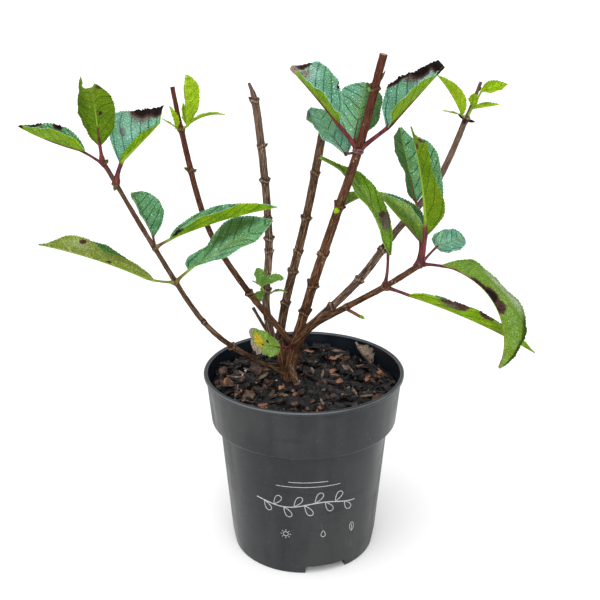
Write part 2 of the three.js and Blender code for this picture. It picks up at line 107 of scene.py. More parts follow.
# Canes: points, radii at distances from the foot, distances of the nodes, share of swelling at a
# node, the bark, and the bearing of the first node's leaf scars.
CANES = {
    "tall_cane": {
        "points": [(-8, 8, 204), (8, 0, 265), (31, -12, 343), (46, -21, 394), (64, -35, 475)],
        "radii": [(0, 4.8), (90, 4.3), (150, 4.0), (200, 3.7), (284, 3.4)],
        "nodes": [35, 64, 97, 146, 200, 255], "swell": 0.22, "bark": "red", "turn": 40,
    },
    "right_cane": {
        "points": [(-6, 13, 208), (51, 31, 258), (89, 46, 305), (125, 59, 346), (153, 75, 405),
                   (166, 80, 439)],
        "radii": [(0, 3.9), (110, 3.6), (200, 3.1), (262, 2.9), (270, 1.8), (300, 1.5)],
        "nodes": [43, 80, 116, 264], "swell": 0.28, "bark": "grey", "turn": 45,
    },
    "low_right_cane": {
        "points": [(-8, 4, 205), (8, -5, 227), (38, -20, 251), (70, -37, 276), (101, -55, 304)],
        "radii": [(0, 3.4), (70, 2.8), (150, 2.5)],
        "nodes": [71, 115, 157], "swell": 0.3, "bark": "red", "turn": 40,
    },
    "left_cane": {
        "points": [(-13, 12, 205), (-51, 19, 250), (-88, 28, 309), (-112, 40, 402), (-119, 45, 439)],
        "radii": [(0, 3.0), (100, 2.7), (225, 2.6), (230, 2.2), (264, 2.0)],
        "nodes": [60, 188, 226], "swell": 0.32, "bark": "red", "turn": 40,
    },
    "back_right_cane": {
        "points": [(-25, 30, 190), (-18, 36, 233), (2, 49, 315), (18, 62, 397)],
        "radii": [(0, 4.2), (130, 4.0), (214, 3.9)],
        "nodes": [45, 77, 97, 130, 173], "swell": 0.2, "bark": "brown", "turn": 48,
    },
    "back_left_cane": {
        "points": [(-27, 23, 188), (-36, 28, 232), (-33, 35, 300), (-45, 48, 427), (-50, 50, 442)],
        "radii": [(0, 3.7), (130, 3.6), (238, 3.6), (243, 3.0), (258, 1.2)],
        "nodes": [63, 101, 113, 132, 168, 200, 241], "swell": 0.2, "bark": "grey", "turn": 35,
    },
    "low_left_cane": {
        "points": [(-19, 12, 171), (-66, 0, 203), (-92, -6, 230), (-132, -20, 306), (-170, -35, 388)],
        "radii": [(0, 2.6), (100, 2.3), (276, 1.9)],
        "nodes": [60, 98, 146, 184, 252, 275], "swell": 0.34, "bark": "brown", "turn": 30,
    },
}

STUBS = {
    "grey_stub": {"points": [(-33, 27, 204), (-49, 30, 232)], "radii": [(0, 1.7), (33, 1.5)],
                  "bark": "grey"},
    "front_stub": {"points": [(-13, 8, 180), (-6.5, -11, 170)], "radii": [(0, 3.6), (22, 3.1)],
                   "bark": "brown"},
    "side_twig": {"points": [(37, -20, 250), (51, -26, 244)], "radii": [(0, 1.7), (16, 1.4)],
                  "bark": "young"},
}

# Buds at the nodes: the distance up the cane, the bearing and the rise, the length, the radius and
# the tint. Clasps are the ridges where a pair of stalks meets round the cane: distance and radius.
BUDS = {
    "tall_cane": [
        (143, -110, -10, 7, 2.6, "young"), (143, 20, 30, 4, 1.6, "bud"), (262, -5, 64, 9, 1.0, "bud"),
        (253, -170, 40, 4, 1.5, "spring"), (254, -80, 20, 3.5, 1.5, "bud"), (95, 170, 40, 3, 1.3, "bud"),
        (64, 10, 40, 3, 1.3, "bud")],
    "right_cane": [
        (116, 160, 40, 3, 1.3, "bud"), (262, -100, 20, 6, 2.4, "dead"), (265, 175, 30, 7, 2.0, "dead"),
        (263, -20, -10, 7, 1.5, "dead"), (284, 180, 50, 4, 1.0, "dead"), (292, 0, 60, 4, 1.0, "dead")],
    "low_right_cane": [(72, 90, 40, 3, 1.2, "bud"), (157, 120, 30, 4, 1.4, "bud")],
    "left_cane": [
        (188, 170, 30, 5, 1.7, "bud"), (187, -10, 40, 4, 1.5, "bud"), (60, -60, 40, 3, 1.2, "bud"),
        (226, -90, 30, 4, 1.9, "bud")],
    "back_right_cane": [
        (130, 180, 40, 3, 1.4, "bud"), (97, 0, 40, 3, 1.4, "bud"), (77, 180, 40, 3, 1.4, "bud")],
    "back_left_cane": [
        (132, 180, 40, 3, 1.5, "bud"), (200, 0, 40, 4, 1.5, "bud"), (168, 180, 40, 3, 1.4, "bud"),
        (101, 0, 40, 3, 1.4, "bud"), (241, 180, 50, 5, 1.5, "dead")],
    "low_left_cane": [
        (250, -120, -50, 4.5, 1.9, "bud"), (273, -10, 45, 4, 1.7, "bud"), (98, 80, 40, 3, 1.2, "bud")],
    "side_twig": [(14.5, -30, -20, 5, 1.6, "young")],
}
CLASPS = {"tall_cane": [(199, 1.4), (201.5, 1.0)], "low_right_cane": [(156, 0.9)]}

# Leaves: the cane and the distance up it, the stalk as (bearing, rise, length), the blade as
# (bearing, rise, length, width), the fold of the left and the right half, and what shapes it
# further. curl rolls the outer part of each half, wave ripples its edges, edges give the half
# widths at shares of the length, and crest how far up the blade ends from its left to its right
# edge. Patches are (across, along, half width, half length, strength), with across -1 at the left.
# Deep patches are painted shade and pale patches painted sheen; scorch, plum, dry and yellow patches are
# the leaf's own colour.
LEAVES = {
    "leaf_left_tip": {
        "on": ("low_left_cane", 269), "stalk": (-158, 41, 22), "blade": (-165, 16, 56, 30),
        "fold": (45, 75), "bend": -16, "curl": (15, 20), "wave": 0.9, "wine": 0.7, "lower": "bright",
        "scorch": [(0.95, 0.48, 0.2, 0.06, 0.9), (0.98, 0.82, 0.25, 0.1, 0.8), (0, 1, 1.5, 0.045, 1.2)],
        "pale": [(-0.3, 0.5, 0.5, 0.3, 0.3)],
    },
    "leaf_left_upright": {
        "on": ("low_left_cane", 275), "stalk": (-86, 60, 16), "stout": 1.25,
        "blade": (-86, 74, 62, 32), "fold": (14, 14), "bend": 12, "wave": 0.9, "wine": 0.4,
        "curl": ([(0, 0), (0.7, 10), (1, 50)], [(0, 10), (0.7, 20), (0.9, 90), (1, 120)]),
        "edges": ([(0, 1), (0.12, 7), (0.3, 13.5), (0.5, 15.5), (0.75, 15.5), (0.9, 13.5), (1, 9)],
                  [(0, 1), (0.12, 7), (0.3, 13.5), (0.5, 15), (0.75, 15), (0.9, 13.5), (1, 12)]),
        "crest": [(-1, 0.8), (-0.6, 0.89), (-0.25, 0.93), (0, 0.88), (0.5, 0.84), (0.72, 0.85),
                  (0.85, 0.97), (0.93, 0.98), (1, 0.86)],
        "scorch": [(-0.22, 0.52, 0.09, 0.03, 0.8), (0.5, 0.55, 0.05, 0.02, 0.5),
                   (-0.4, 0.95, 0.2, 0.03, 0.5)],
        "deep": [(0.75, 0.5, 0.3, 0.5, 0.5), (-0.8, 0.5, 0.25, 0.5, 0.3)],
    },
    "leaf_left_scorched": {
        "on": ("low_left_cane", 252), "stalk": (50, 72, 18), "stout": 1.7, "blade": (4, 43, 84, 66),
        "fold": (72, 74), "cut": 0.58, "curl": ([(0, 10), (1, -15)], [(0, 30), (1, 20)]), "wave": 0.7,
        "wine": 0.0, "lower": "bright", "tint": "teal",
        "edges": ([(0, 1), (0.04, 9), (0.1, 18), (0.2, 27), (0.3, 32), (0.4, 34), (0.5, 31), (0.6, 26),
                   (0.7, 21), (0.8, 17), (0.9, 12.5), (1, 10)],
                  [(0, 1), (0.2, 4.5), (0.5, 5.5), (0.75, 5), (0.9, 2), (1, 1)]),
        "crest": [(-1, 1.25), (0, 1.0), (1, 0.95)],
        "scorch": [(-1, 0.76, 0.26, 0.12, 1.3), (-1, 0.93, 0.42, 0.10, 1.4)],
        "plum": [(-0.5, 0.36, 0.11, 0.06, 0.6), (-0.85, 0.74, 0.4, 0.17, 0.7)],
        "pale": [(-0.6, 0.5, 0.4, 0.25, 0.4)],
    },
    "leaf_left_back": {
        "on": ("low_left_cane", 184), "stalk": (100, 15, 20), "blade": (130, 44, 49, 40),
        "fold": (50, 22), "curl": (20, 10), "wave": 0.7,
        "edges": ([(0, 1), (0.2, 11), (0.5, 17), (0.8, 15), (0.93, 9), (1, 1)],
                  [(0, 1), (0.15, 11), (0.4, 19.5), (0.65, 20), (0.85, 15), (0.96, 8), (1, 1)]),
    },
    "leaf_left_inner": {
        "on": ("low_left_cane", 184), "stalk": (-9, 34, 17), "stout": 1.15,
        "blade": (7, 22, 99, 30), "fold": (42, [(0, 38), (0.5, 42), (0.72, 66), (1, 70)]),
        "bend": 14, "curl": (20, 20), "wave": 1.0, "wine": 0.02, "redness": 0.6, "lower": "bright",
        "scorch": [(0.8, 0.09, 0.3, 0.05, 1.0)],
    },
    "leaf_left_low": {
        "on": ("low_left_cane", 146), "stalk": (-155, 10, 21), "blade": (-163, 31, 105, 42),
        "fold": ([(0, 60), (0.3, 58), (0.6, 62), (1, 62)], 45), "bend": 14, "widest": 1.6,
        "tint": "olive", "curl": (10, 25), "wave": 1.5, "wine": 0.05, "redness": 0.5,
        "edges": ([(0, 1), (0.08, 7), (0.18, 11), (0.35, 11.5), (0.47, 11), (0.56, 16), (0.66, 20.5),
                   (0.76, 19), (0.86, 12), (0.94, 4), (1, 0.6)],
                  [(0, 1), (0.1, 5), (0.3, 11), (0.45, 17), (0.55, 16), (0.7, 14), (0.9, 4), (1, 0.6)]),
        "scorch": [(-0.8, 0.68, 0.1, 0.025, 0.8), (-0.2, 0.42, 0.1, 0.02, 0.7)],
        "pale": [(-0.6, 0.7, 0.3, 0.1, 0.5)],
        "deep": [(-0.9, 0.3, 0.35, 0.2, 0.45), (0.9, 0.4, 0.4, 0.3, 0.3)],
    },
    "leaf_left_broad": {
        "on": ("low_left_cane", 146), "stalk": (-26, 45, 19), "stout": 1.15,
        "blade": (4, 34, 88, 36), "fold": (15, 12), "roll": 24, "bend": 10, "wine": 0.02, "redness": 0.58,
        "curl": (30, -40), "wave": 1.6,
        "edges": ([(0, 7), (0.05, 12), (0.18, 11), (0.28, 10), (0.4, 17), (0.52, 22), (0.68, 22),
                   (0.86, 13), (1, 0.6)],
                  [(0, 1), (0.15, 4), (0.33, 10), (0.45, 17), (0.58, 14), (0.8, 15), (0.93, 7),
                   (1, 0.6)]),
        "deep": [(-0.6, 0.6, 0.3, 0.25, 0.8)], "pale": [(0.2, 0.4, 0.5, 0.2, 0.4)],
    },
    "leaf_tall_left": {
        "on": ("tall_cane", 200), "stalk": (-159, 51, 31), "stout": 1.7, "blade": (-162, 51, 62, 46),
        "fold": (8, 75), "curl": (20, 10), "wave": 1.2, "wine": 1.1, "bend": 6, "tint": "teal",
        "lower": "bright",
        "edges": ([(0, 1), (0.15, 14), (0.35, 18), (0.6, 14), (0.8, 8), (0.93, 3), (1, 2)],
                  [(0, 2), (0.15, 17), (0.4, 24), (0.6, 25), (0.78, 22), (0.9, 10), (1, 3)]),
        "scorch": [(0.8, 0.88, 0.3, 0.05, 0.8), (1, 0.35, 0.12, 0.03, 1)],
        "dry": [(0, 0.98, 1.2, 0.07, 1.2), (0.3, 0.8, 0.3, 0.07, 0.6)],
        "pale": [(0.4, 0.75, 0.4, 0.12, 0.6)],
    },
    "leaf_tall_right": {
        "on": ("tall_cane", 200), "stalk": (-16, 39, 32), "stout": 1.7, "blade": (-16, 49, 68, 48),
        "fold": (75, 20), "curl": (10, 20), "wave": 1.4, "wine": 0.8, "tint": "teal", "lower": "bright",
        "edges": ([(0, 2), (0.12, 17), (0.35, 25), (0.55, 23), (0.75, 15), (0.88, 12), (1, 8)],
                  [(0, 1), (0.2, 13), (0.45, 18), (0.7, 12), (0.88, 5), (1, 3)]),
        "scorch": [(-1, 0.52, 0.14, 0.14, 1.1), (-0.95, 0.78, 0.4, 0.12, 1.2),
                   (-0.5, 0.97, 1.2, 0.07, 1.5)],
        "plum": [(-0.75, 0.72, 0.3, 0.16, 0.9)], "pale": [(-0.4, 0.75, 0.3, 0.12, 0.8)],
    },
    "leaf_tall_back": {
        "on": ("tall_cane", 200), "stalk": (110, 28, 12), "blade": (60, 66, 52, 44),
        "fold": (18, 10), "curl": (10, 10), "wave": 0.9, "tint": "teal",
        "edges": ([(0, 2), (0.15, 12), (0.4, 18), (0.65, 20), (0.85, 19), (0.96, 10), (1, 2)],
                  [(0, 2), (0.15, 14), (0.35, 21), (0.55, 23), (0.75, 21), (0.9, 13), (1, 2)]),
        "deep": [(0.62, 0.5, 0.42, 0.9, 1.2)],
    },
    "leaf_tall_side": {
        "on": ("tall_cane", 200), "stalk": (125, -25, 18), "blade": (135, 42, 56, 38),
        "fold": (10, 10), "curl": (10, 20), "wave": 1.0, "tint": "teal",
        "edges": ([(0, 1), (0.15, 8), (0.35, 16), (0.55, 21), (0.75, 21), (0.9, 14), (1, 2)],
                  [(0, 1), (0.15, 12), (0.4, 18), (0.65, 17), (0.9, 8), (1, 2)]),
        "plum": [(-0.85, 0.85, 0.15, 0.06, 0.8)], "deep": [(-0.9, 0.75, 0.3, 0.2, 0.6)],
    },
    "leaf_tall_low": {
        "on": ("tall_cane", 146), "stalk": (52, 0, 8), "blade": (56, 2, 42, 20),
        "fold": (30, 30), "tint": "grass", "curl": (10, 10), "wave": 0.6,
    },
    "leaf_right_rising": {
        "on": ("low_right_cane", 115), "stalk": (60, 71, 28), "stout": 1.2,
        "blade": (135, 71, 119, 27), "fold": (22, 45), "bend": 60, "tint": "grass",
        "curl": (20, 20), "wave": 1.0, "wine": 0.05,
        "edges": ([(0, 1), (0.1, 6), (0.25, 10), (0.5, 13), (0.65, 12), (0.75, 7), (0.84, 3.5), (1, 1.5)],
                  [(0, 1), (0.1, 6), (0.25, 11), (0.5, 13), (0.65, 11), (0.75, 6), (0.84, 3), (1, 1.5)]),
        "plum": [(0.55, 0.25, 0.38, 0.06, 1.0)], "scorch": [(0.5, 0.30, 0.3, 0.02, 0.5)],
        "pale": [(0.1, 0.5, 0.2, 0.5, 0.4), (-0.5, 0.6, 0.2, 0.15, 0.4)],
    },
    "leaf_right_inner": {
        "on": ("low_right_cane", 150), "stalk": (20, 70, 22), "stout": 1.2,
        "blade": (157, 44, 60, 38), "fold": (60, 40), "curl": (15, 15), "wave": 0.9, "wine": 0.5,
        "lower": "grass", "pale": [(-0.8, 0.5, 0.2, 0.4, 0.4)],
        "deep": [(0.6, 0.5, 0.4, 0.5, 0.6), (-0.3, 0.4, 0.3, 0.5, 0.5)],
    },
    "leaf_right_upright": {
        "on": ("low_right_cane", 157), "stalk": (-62, 78, 28), "stout": 1.9,
        "blade": (-172, 87, 93, 38), "fold": (58, 70), "bend": 15, "wine": 0.12,
        "curl": (20, 15), "wave": 0.7,
        "edges": ([(0, 1), (0.06, 7), (0.18, 16), (0.3, 17), (0.45, 12.5), (0.6, 9.5), (0.84, 9.5),
                   (0.87, 6), (0.89, 1.6), (1, 0.8)],
                  [(0, 1), (0.08, 7), (0.2, 17), (0.45, 19), (0.7, 18.5), (0.82, 13), (0.89, 4),
                   (0.92, 1.2), (1, 0.8)]),
        "scorch": [(-0.75, 0.86, 0.3, 0.02, 0.6), (0, 0.83, 0.25, 0.035, 0.55)],
    },
    "leaf_right_drooping": {
        "on": ("low_right_cane", 157), "stalk": (-30, 8, 20), "stout": 1.15,
        "blade": (0, -15, 122, 40), "fold": (30, [(0, 80), (0.5, 85), (1, 80)]), "bend": 90,
        "widest": 1.2, "tint": "grass", "curl": (10, [(0, -60), (0.5, -70), (0.8, -90), (1, -60)]),
        "wave": 1.5, "wine": 0.35,
        "edges": ([(0, 1), (0.2, 9), (0.5, 16), (0.8, 10), (0.93, 4), (1, 0.6)],
                  [(0, 1), (0.05, 9), (0.13, 15), (0.2, 15.5), (0.24, 15.5), (0.38, 18), (0.5, 20.5),
                   (0.62, 21.5), (0.75, 21.5), (0.85, 14), (0.92, 7), (1, 0.6)]),
        "scorch": [(0, 0.3, 0.12, 0.07, 0.9), (0.06, 0.42, 0.2, 0.06, 1.2), (0.1, 0.52, 0.22, 0.05, 0.8)],
        "pale": [(0.85, 0.42, 0.2, 0.16, 1.0), (0.45, 0.6, 0.25, 0.3, 0.3)],
        "deep": [(1, 0.83, 0.22, 0.16, 1.4)],
    },
    "leaf_right_low": {
        "on": ("low_right_cane", 115), "stalk": (-14, -15, 22), "stout": 1.3,
        "blade": (2, -20, 130, 26), "fold": ([(0, 30), (0.6, 32), (0.75, 45), (1, 40)], 58),
        "bend": 12, "curl": (10, 15), "wave": 1.0, "wine": 0.05, "lower": "bright",
        "scorch": [(1, 0.26, 0.4, 0.06, 0.5), (0.97, 0.36, 0.5, 0.05, 0.62), (1, 0.54, 0.3, 0.05, 0.7)],
        "plum": [(0.8, 0.3, 0.4, 0.09, 0.8), (-0.1, 0.72, 0.4, 0.1, 0.4)],
    },
    "leaf_right_small": {
        "on": ("low_right_cane", 157), "stalk": (50, 25, 25), "blade": (36, 4, 35, 26),
        "fold": (10, 10), "roll": 35, "curl": (10, 10), "wave": 0.7, "wine": 0.1, "tint": "teal",
        "edges": ([(0, 8), (0.15, 11.5), (0.5, 13), (0.8, 11), (0.95, 6), (1, 1)],
                  [(0, 8), (0.15, 11), (0.5, 12), (0.8, 9), (0.95, 4), (1, 1)]),
        "pale": [(0, 0.4, 0.8, 0.5, 0.3)],
    },
    "leaf_right_back": {
        "on": ("right_cane", 170), "stalk": (100, 10, 8), "blade": (116, 64, 75, 56),
        "fold": (32, 8), "curl": (20, -10), "wave": 1.2,
        "edges": ([(0, 1), (0.15, 12), (0.35, 16), (0.5, 16), (0.62, 21), (0.74, 27), (0.84, 21),
                   (0.93, 9), (1, 1)],
                  [(0, 1), (0.15, 14), (0.4, 25), (0.6, 24), (0.75, 17), (0.9, 8), (1, 1)]),
        "deep": [(-0.7, 0.5, 0.5, 0.8, 1.1)],
    },
    "base_leaf": {
        "from": (-10.6, 9.6, 200), "stalk": (-133, 12, 17), "blade": (-153, 24, 36, 29),
        "fold": (2, 5), "roll": -36, "tint": "fading", "curl": (10, 10), "wave": 1.0,
        "edges": ([(0, 1), (0.15, 9), (0.35, 13), (0.65, 14.5), (0.85, 14), (1, 12)],
                  [(0, 1), (0.15, 9), (0.35, 12.5), (0.65, 14), (0.85, 14), (1, 13)]),
        "crest": [(-1, 0.9), (-0.4, 0.93), (0.2, 0.9), (0.6, 0.97), (1, 0.92)],
        "dry": [(-1, 0.95, 0.6, 0.2, 1.2), (0, 1.05, 1.2, 0.1, 1.4), (1, 1, 0.5, 0.1, 1.2)],
        "yellow": [(0.2, 0.74, 0.42, 0.12, 1.0), (-0.2, 0.6, 0.25, 0.08, 0.6)],
        "scorch": [(0.25, 0.45, 0.1, 0.04, 1.0), (-0.1, 0.62, 0.1, 0.05, 0.5)],
        "pale": [(-0.6, 0.45, 0.5, 0.4, 0.35)],
    },
}

# The edges of the small round leaves.
ROUND = ([(0, 1), (0.15, 3.8), (0.4, 6.3), (0.7, 6.6), (0.9, 4.2), (1, 0.8)],
         [(0, 1), (0.15, 3.8), (0.4, 6.0), (0.7, 6.4), (0.9, 4.4), (1, 0.8)])

# Shoots: where each leaves its cane, its stem as (bearing, rise, length), and its leaves, with root
# the share up the stem that a leaf starts at.
SHOOTS = {
    "shoot_left_cane_right": {
        "on": ("left_cane", 226), "stem": (-10, 30, 8),
        "leaves": [
            {"blade": (-80, 82, 47, 24), "fold": (5, 60),
             "edges": ([(0, 1), (0.12, 5), (0.3, 10), (0.5, 12.5), (0.7, 12.5), (0.85, 10), (0.95, 5.5),
                        (1, 1)],
                       [(0, 1), (0.2, 3.5), (0.5, 4), (0.85, 3), (1, 0.5)])},
            {"blade": (-4, 42, 38, 8), "fold": (30, 30), "bend": 50},
            {"blade": (114, 62, 22, 7), "fold": (20, 20)},
        ],
    },
    "shoot_left_cane_left": {
        "on": ("left_cane", 226), "stem": (-150, 20, 6),
        "leaves": [
            {"blade": (-134, 71, 22, 10), "fold": (30, 30)},
            {"blade": (-170, 35, 16, 5), "fold": (20, 20)},
        ],
    },
    "shoot_right_cane_left": {
        "on": ("right_cane", 264), "stem": (-150, 40, 8),
        "leaves": [
            {"blade": (-150, 60, 50, 22), "fold": (30, 30), "bend": 18},
            {"blade": (-158, 14, 22, 6), "fold": (20, 20)},
        ],
    },
    "shoot_right_cane_right": {
        "on": ("right_cane", 264), "stem": (-8, 64, 30),
        "leaves": [
            {"blade": (8, 14, 26, 16), "fold": (20, 20), "roll": 40},
            {"blade": (-100, 60, 15, 10), "fold": (20, 20), "root": 0.5},
            {"blade": (-18, 12, 26, 11), "fold": (20, 20), "roll": 20, "root": 0.4},
        ],
    },
    "shoot_back_left_cane_left": {
        "on": ("back_left_cane", 57), "stem": (-128, 62, 16), "tint": "spring",
        "leaves": [
            {"blade": (128, 68, 17, 12), "fold": (15, 25), "edges": ROUND},
            {"blade": (-175, 35, 11, 5), "fold": (20, 20), "root": 0.9},
            {"blade": (-14, 34, 23, 17), "fold": (12, 30), "roll": 42, "bend": 40, "edges": ROUND},
            {"blade": (-176, -52, 16, 11), "fold": (20, 15), "root": 0.5, "roll": -45, "edges": ROUND},
        ],
    },
    "shoot_back_left_cane_right": {
        "on": ("back_left_cane", 58), "stem": (-10, 30, 7), "tint": "spring",
        "leaves": [{"blade": (0, 25, 16, 6), "fold": (20, 20), "bend": 45}],
    },
}

DRY_LEAF = {
    "from": (68, 49, 163.9), "blade": (155, 30, 28, 22), "fold": (34, 34), "bend": -40,
    "curl": (90, 70), "wave": 2.2,
    "edges": ([(0, 4), (0.2, 11), (0.5, 13.5), (0.7, 9), (0.85, 4), (1, 1.5)],
              [(0, 5), (0.2, 12), (0.45, 14), (0.65, 10), (0.8, 4), (1, 1.5)]),
}

# What leaves share where they don't say otherwise: the stalk's radius, how far it runs on under the
# blade, the outline's shape, the least half width, and what the table of leaves calls by name.
LEAF = {"stalk": 1.3, "rib_share": 0.85, "widest": 0.8, "fullness": 0.85, "tip": 0.3, "curl": (10, 10),
        "wine": 0.45, "wave": 0.6, "tint": "blue"}
YOUNG_LEAF = {"curl": (25, 25), "wave": 0.5}
VEIN = {"pairs": 5.5, "lean": 0.22, "arch": 0.16}
# Of these, deep is painted shade and pale is painted sheen.
PATCHES = ("scorch", "plum", "dry", "yellow", "pale", "deep")
SHOOT_STEM = 1.4
STALK_SLOT = 2
# The radius that a tube closes to.
CLOSED = 0.05
# How a node stands out of its cane: the reach of its swelling, the rise of its line at the leaf
# scars, the height of its ridge and of its spurs, and the depth of the furrow above it.
NODE = {"reach": 2.6, "rise": 0.34, "ridge": 0.12, "spur": 0.8, "furrow": 0.3}
# The sprig on the pot: its left and right end, its wave's height and length, and its leaves.
SPRIG = {"left": -46, "right": 50, "wave": 2.5, "wave_length": 11, "leaves": 9, "first": -38,
         "pitch": 9.6, "leaf": 13, "leaf_width": 2.9, "lean": 58}
# How far round from the front each care sign is, and how many rays the sun has.
SIGNS = {"sun": -17, "drop": 18, "leaf": 48, "rays": 8}
# The hairlines: their left and right ends, their rise above the lower one and their points.
HAIRLINES = ((-26, 34, 0, 20), (-14, 22, 5, 12))
# The radius of each kind of stroke.
STROKE = {"stem": 0.6, "leaf": 0.44, "hairline": 0.34, "sign": 0.36, "fine": 0.32}
# Lights: the turn about each axis and the width of the source, in degrees. The camera's place is in
# metres.
LIGHTS = {"key_light": ((26, 0, -24), 60), "front_light": ((70, 0, 10), 40)}
CAMERA = {"place": (-0.0037, -0.8206, 0.5485), "down": 19.95, "lens": 56.58, "sensor": 36}


# ---- curves and frames ----


def direction(bearing, rise):
    """A unit vector from a bearing, turned from +X towards +Y, and a rise above the level."""
    bearing, rise = math.radians(bearing), math.radians(rise)
    flat = math.cos(rise)
    return np.array([flat * math.cos(bearing), flat * math.sin(bearing), math.sin(rise)])


def read_off(pairs, place):
    """Values read off a list of (place, value) pairs, straight between them."""
    places, values = zip(*pairs)
    return np.interp(place, places, values)


class Spine:
    """A smooth curve through points, measured along its length."""

    def __init__(self, points, per_span=40):
        points = np.array([np.asarray(point, float) for point in points])
        ends = [2 * points[0] - points[1], 2 * points[-1] - points[-2]]
        ring = np.vstack([ends[0], points, ends[1]])
        samples = [points[0]]
        for a, b, c, d in zip(ring, ring[1:], ring[2:], ring[3:]):
            knots = [math.sqrt(np.linalg.norm(q - p)) for p, q in ((a, b), (b, c), (c, d))]
            start = (b - a) / knots[0] - (c - a) / (knots[0] + knots[1]) + (c - b) / knots[1]
            end = (c - b) / knots[1] - (d - b) / (knots[1] + knots[2]) + (d - c) / knots[2]
            start, end = start * knots[1], end * knots[1]
            for t in np.linspace(0, 1, per_span + 1)[1:]:
                samples.append(
                    b + start * t + (3 * (c - b) - 2 * start - end) * t ** 2
                    + (2 * (b - c) + start + end) * t ** 3
                )
        self.samples = np.array(samples)
        steps = np.linalg.norm(np.diff(self.samples, axis=0), axis=1)
        self.places = np.concatenate([[0], np.cumsum(steps)])
        self.length = self.places[-1]

    def at(self, place):
        """Points at distances from the foot."""
        return np.stack([np.interp(place, self.places, axis) for axis in self.samples.T], axis=-1)

    def frames(self, places):
        """At each place: the point, the tangent and two directions across that don't twist."""
        reach = 0.5
        ahead = self.at(np.minimum(places + reach, self.length))
        tangents = ahead - self.at(np.maximum(places - reach, 0))
        tangents /= np.linalg.norm(tangents, axis=1)[:, None]
        across = np.array([1.0, 0, 0])
        firsts = []
        for tangent in tangents:
            across = across - tangent * across.dot(tangent)
            across /= np.linalg.norm(across)
            firsts.append(across)
        firsts = np.array(firsts)
        return self.at(places), tangents, firsts, np.cross(tangents, firsts)


def from_crown(x, y):
    """How far a place on the compost is from the crown's middle."""
    return math.hypot(x - COMPOST["middle"][0], y - COMPOST["middle"][1])


def heap(x, y):
    """The height of the compost, with a flat patch where the crown stands."""
    fade = min(max((from_crown(x, y) - COMPOST["flat"]) / COMPOST["fade"], 0), 1)
    bumps = math.sin(x * 0.21 + 1.3) * math.cos(y * 0.18 - 0.4) + 0.6 * math.sin((x + y) * 0.33)
    slope = (-x * 0.6 - y * 0.8) / COMPOST["slope"]
    return COMPOST["level"] + fade * (COMPOST["bump"] * bumps + COMPOST["tilt"] * slope)


# ---- mesh helpers ----


def deselect():
    """Leaves edit mode and deselects everything."""
    if bpy.context.mode != "OBJECT":
        bpy.ops.object.mode_set(mode="OBJECT")
    bpy.ops.object.select_all(action="DESELECT")


def pick(*pieces):
    """Selects only these pieces, with the first one active."""
    deselect()
    for piece in pieces:
        piece.select_set(True)
    bpy.context.view_layer.objects.active = pieces[0]


def named(name):
    """Names the new active object and its mesh."""
    piece = bpy.context.object
    piece.name = piece.data.name = name
    return piece


def settle(piece):
    """Moves the object's place into its mesh."""
    pick(piece)
    bpy.ops.object.transform_apply(location=True, rotation=True, scale=True)
    return piece


def paint(piece, *finishes):
    """Gives the piece its materials, in the order of its slots."""
    piece.data.materials.clear()
    for finish in finishes:
        piece.data.materials.append(finish)


def paint_all(piece, index):
    """Gives every face of the piece the material of one slot."""
    for face in piece.data.polygons:
        face.material_index = index


def finish_piece(piece, slot, *nodes):
    """Hangs the piece on the shrub's body, with its material slot and the nodes it stands for."""
    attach(piece, BODY)
    if nodes:
        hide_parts(*nodes)


def apply_modifier(piece, kind, **settings):
    """Adds a modifier with its settings and applies it."""
    pick(piece)
    modifier = piece.modifiers.new(kind.title(), kind)
    for key, value in settings.items():
        setattr(modifier, key, value)
    bpy.ops.object.modifier_apply(modifier=modifier.name)


def soften(piece, angle=40):
    """Shades the piece smooth, apart from edges sharper than the angle."""
    pick(piece)
    bpy.ops.object.shade_smooth_by_angle(angle=math.radians(angle))


def join(pieces, name):
    """Joins pieces into one, which takes the name."""
    pick(*pieces)
    if len(pieces) > 1:
        bpy.ops.object.join()
    return named(name)


def grid(name, columns, rows):
    """A new grid, with each vertex's share across it and its row along it."""
    deselect()
    bpy.ops.mesh.primitive_grid_add(x_subdivisions=columns, y_subdivisions=rows, size=2, calc_uvs=True)
    piece = named(name)
    place = np.empty(len(piece.data.vertices) * 3)
    piece.data.vertices.foreach_get("co", place)
    place = place.reshape(-1, 3)
    return piece, (place[:, 0] + 1) / 2, np.rint((place[:, 1] + 1) / 2 * rows).astype(int)


def shape(piece, points):
    """Moves the piece's vertices to points given in millimetres."""
    piece.data.vertices.foreach_set("co", (points * MM).ravel())
    piece.data.update()


def close_seams(piece, gap=0.00002):
    """Merges the vertices that meet, and fills what is left open."""
    pick(piece)
    bpy.ops.object.mode_set(mode="EDIT")
    bpy.ops.mesh.select_all(action="SELECT")
    bpy.ops.mesh.remove_doubles(threshold=gap)
    bpy.ops.mesh.fill_holes(sides=0)
    bpy.ops.object.mode_set(mode="OBJECT")


def mark(piece, name, values):
    """Keeps one number for each vertex of the piece, for its finish to read."""
    piece.data.attributes.new(name, "FLOAT", "POINT").data.foreach_set("value", values)


def capped(rows, last=CLOSED):
    """Rows of a tube whose two ends are drawn in."""
    return [(rows[0][0], CLOSED), *rows, (rows[-1][0], last)]


def tube(name, spine, rows, sides, relief=None, marks=None):
    """A grid wrapped round a spine. Rows are (place, radius) pairs, and may close the tube's ends.

    relief(places, angles, rows) is added to the radius, and marks are named numbers for each place.
    """
    places, radii = np.array(rows).T
    piece, share, row = grid(name, sides, len(rows) - 1)
    points, _, first, second = spine.frames(np.clip(places, 0, spine.length))
    angle = -TURN * share
    radius = radii[row]
    if relief is not None:
        radius = radius + relief(places[row], angle, row)
    ring = first[row] * np.cos(angle)[:, None] + second[row] * np.sin(angle)[:, None]
    shape(piece, points[row] + ring * radius[:, None])
    for key, rule in (marks or {}).items():
        mark(piece, key, rule(places[row], angle))
    close_seams(piece)
    return piece


# ---- finishes ----


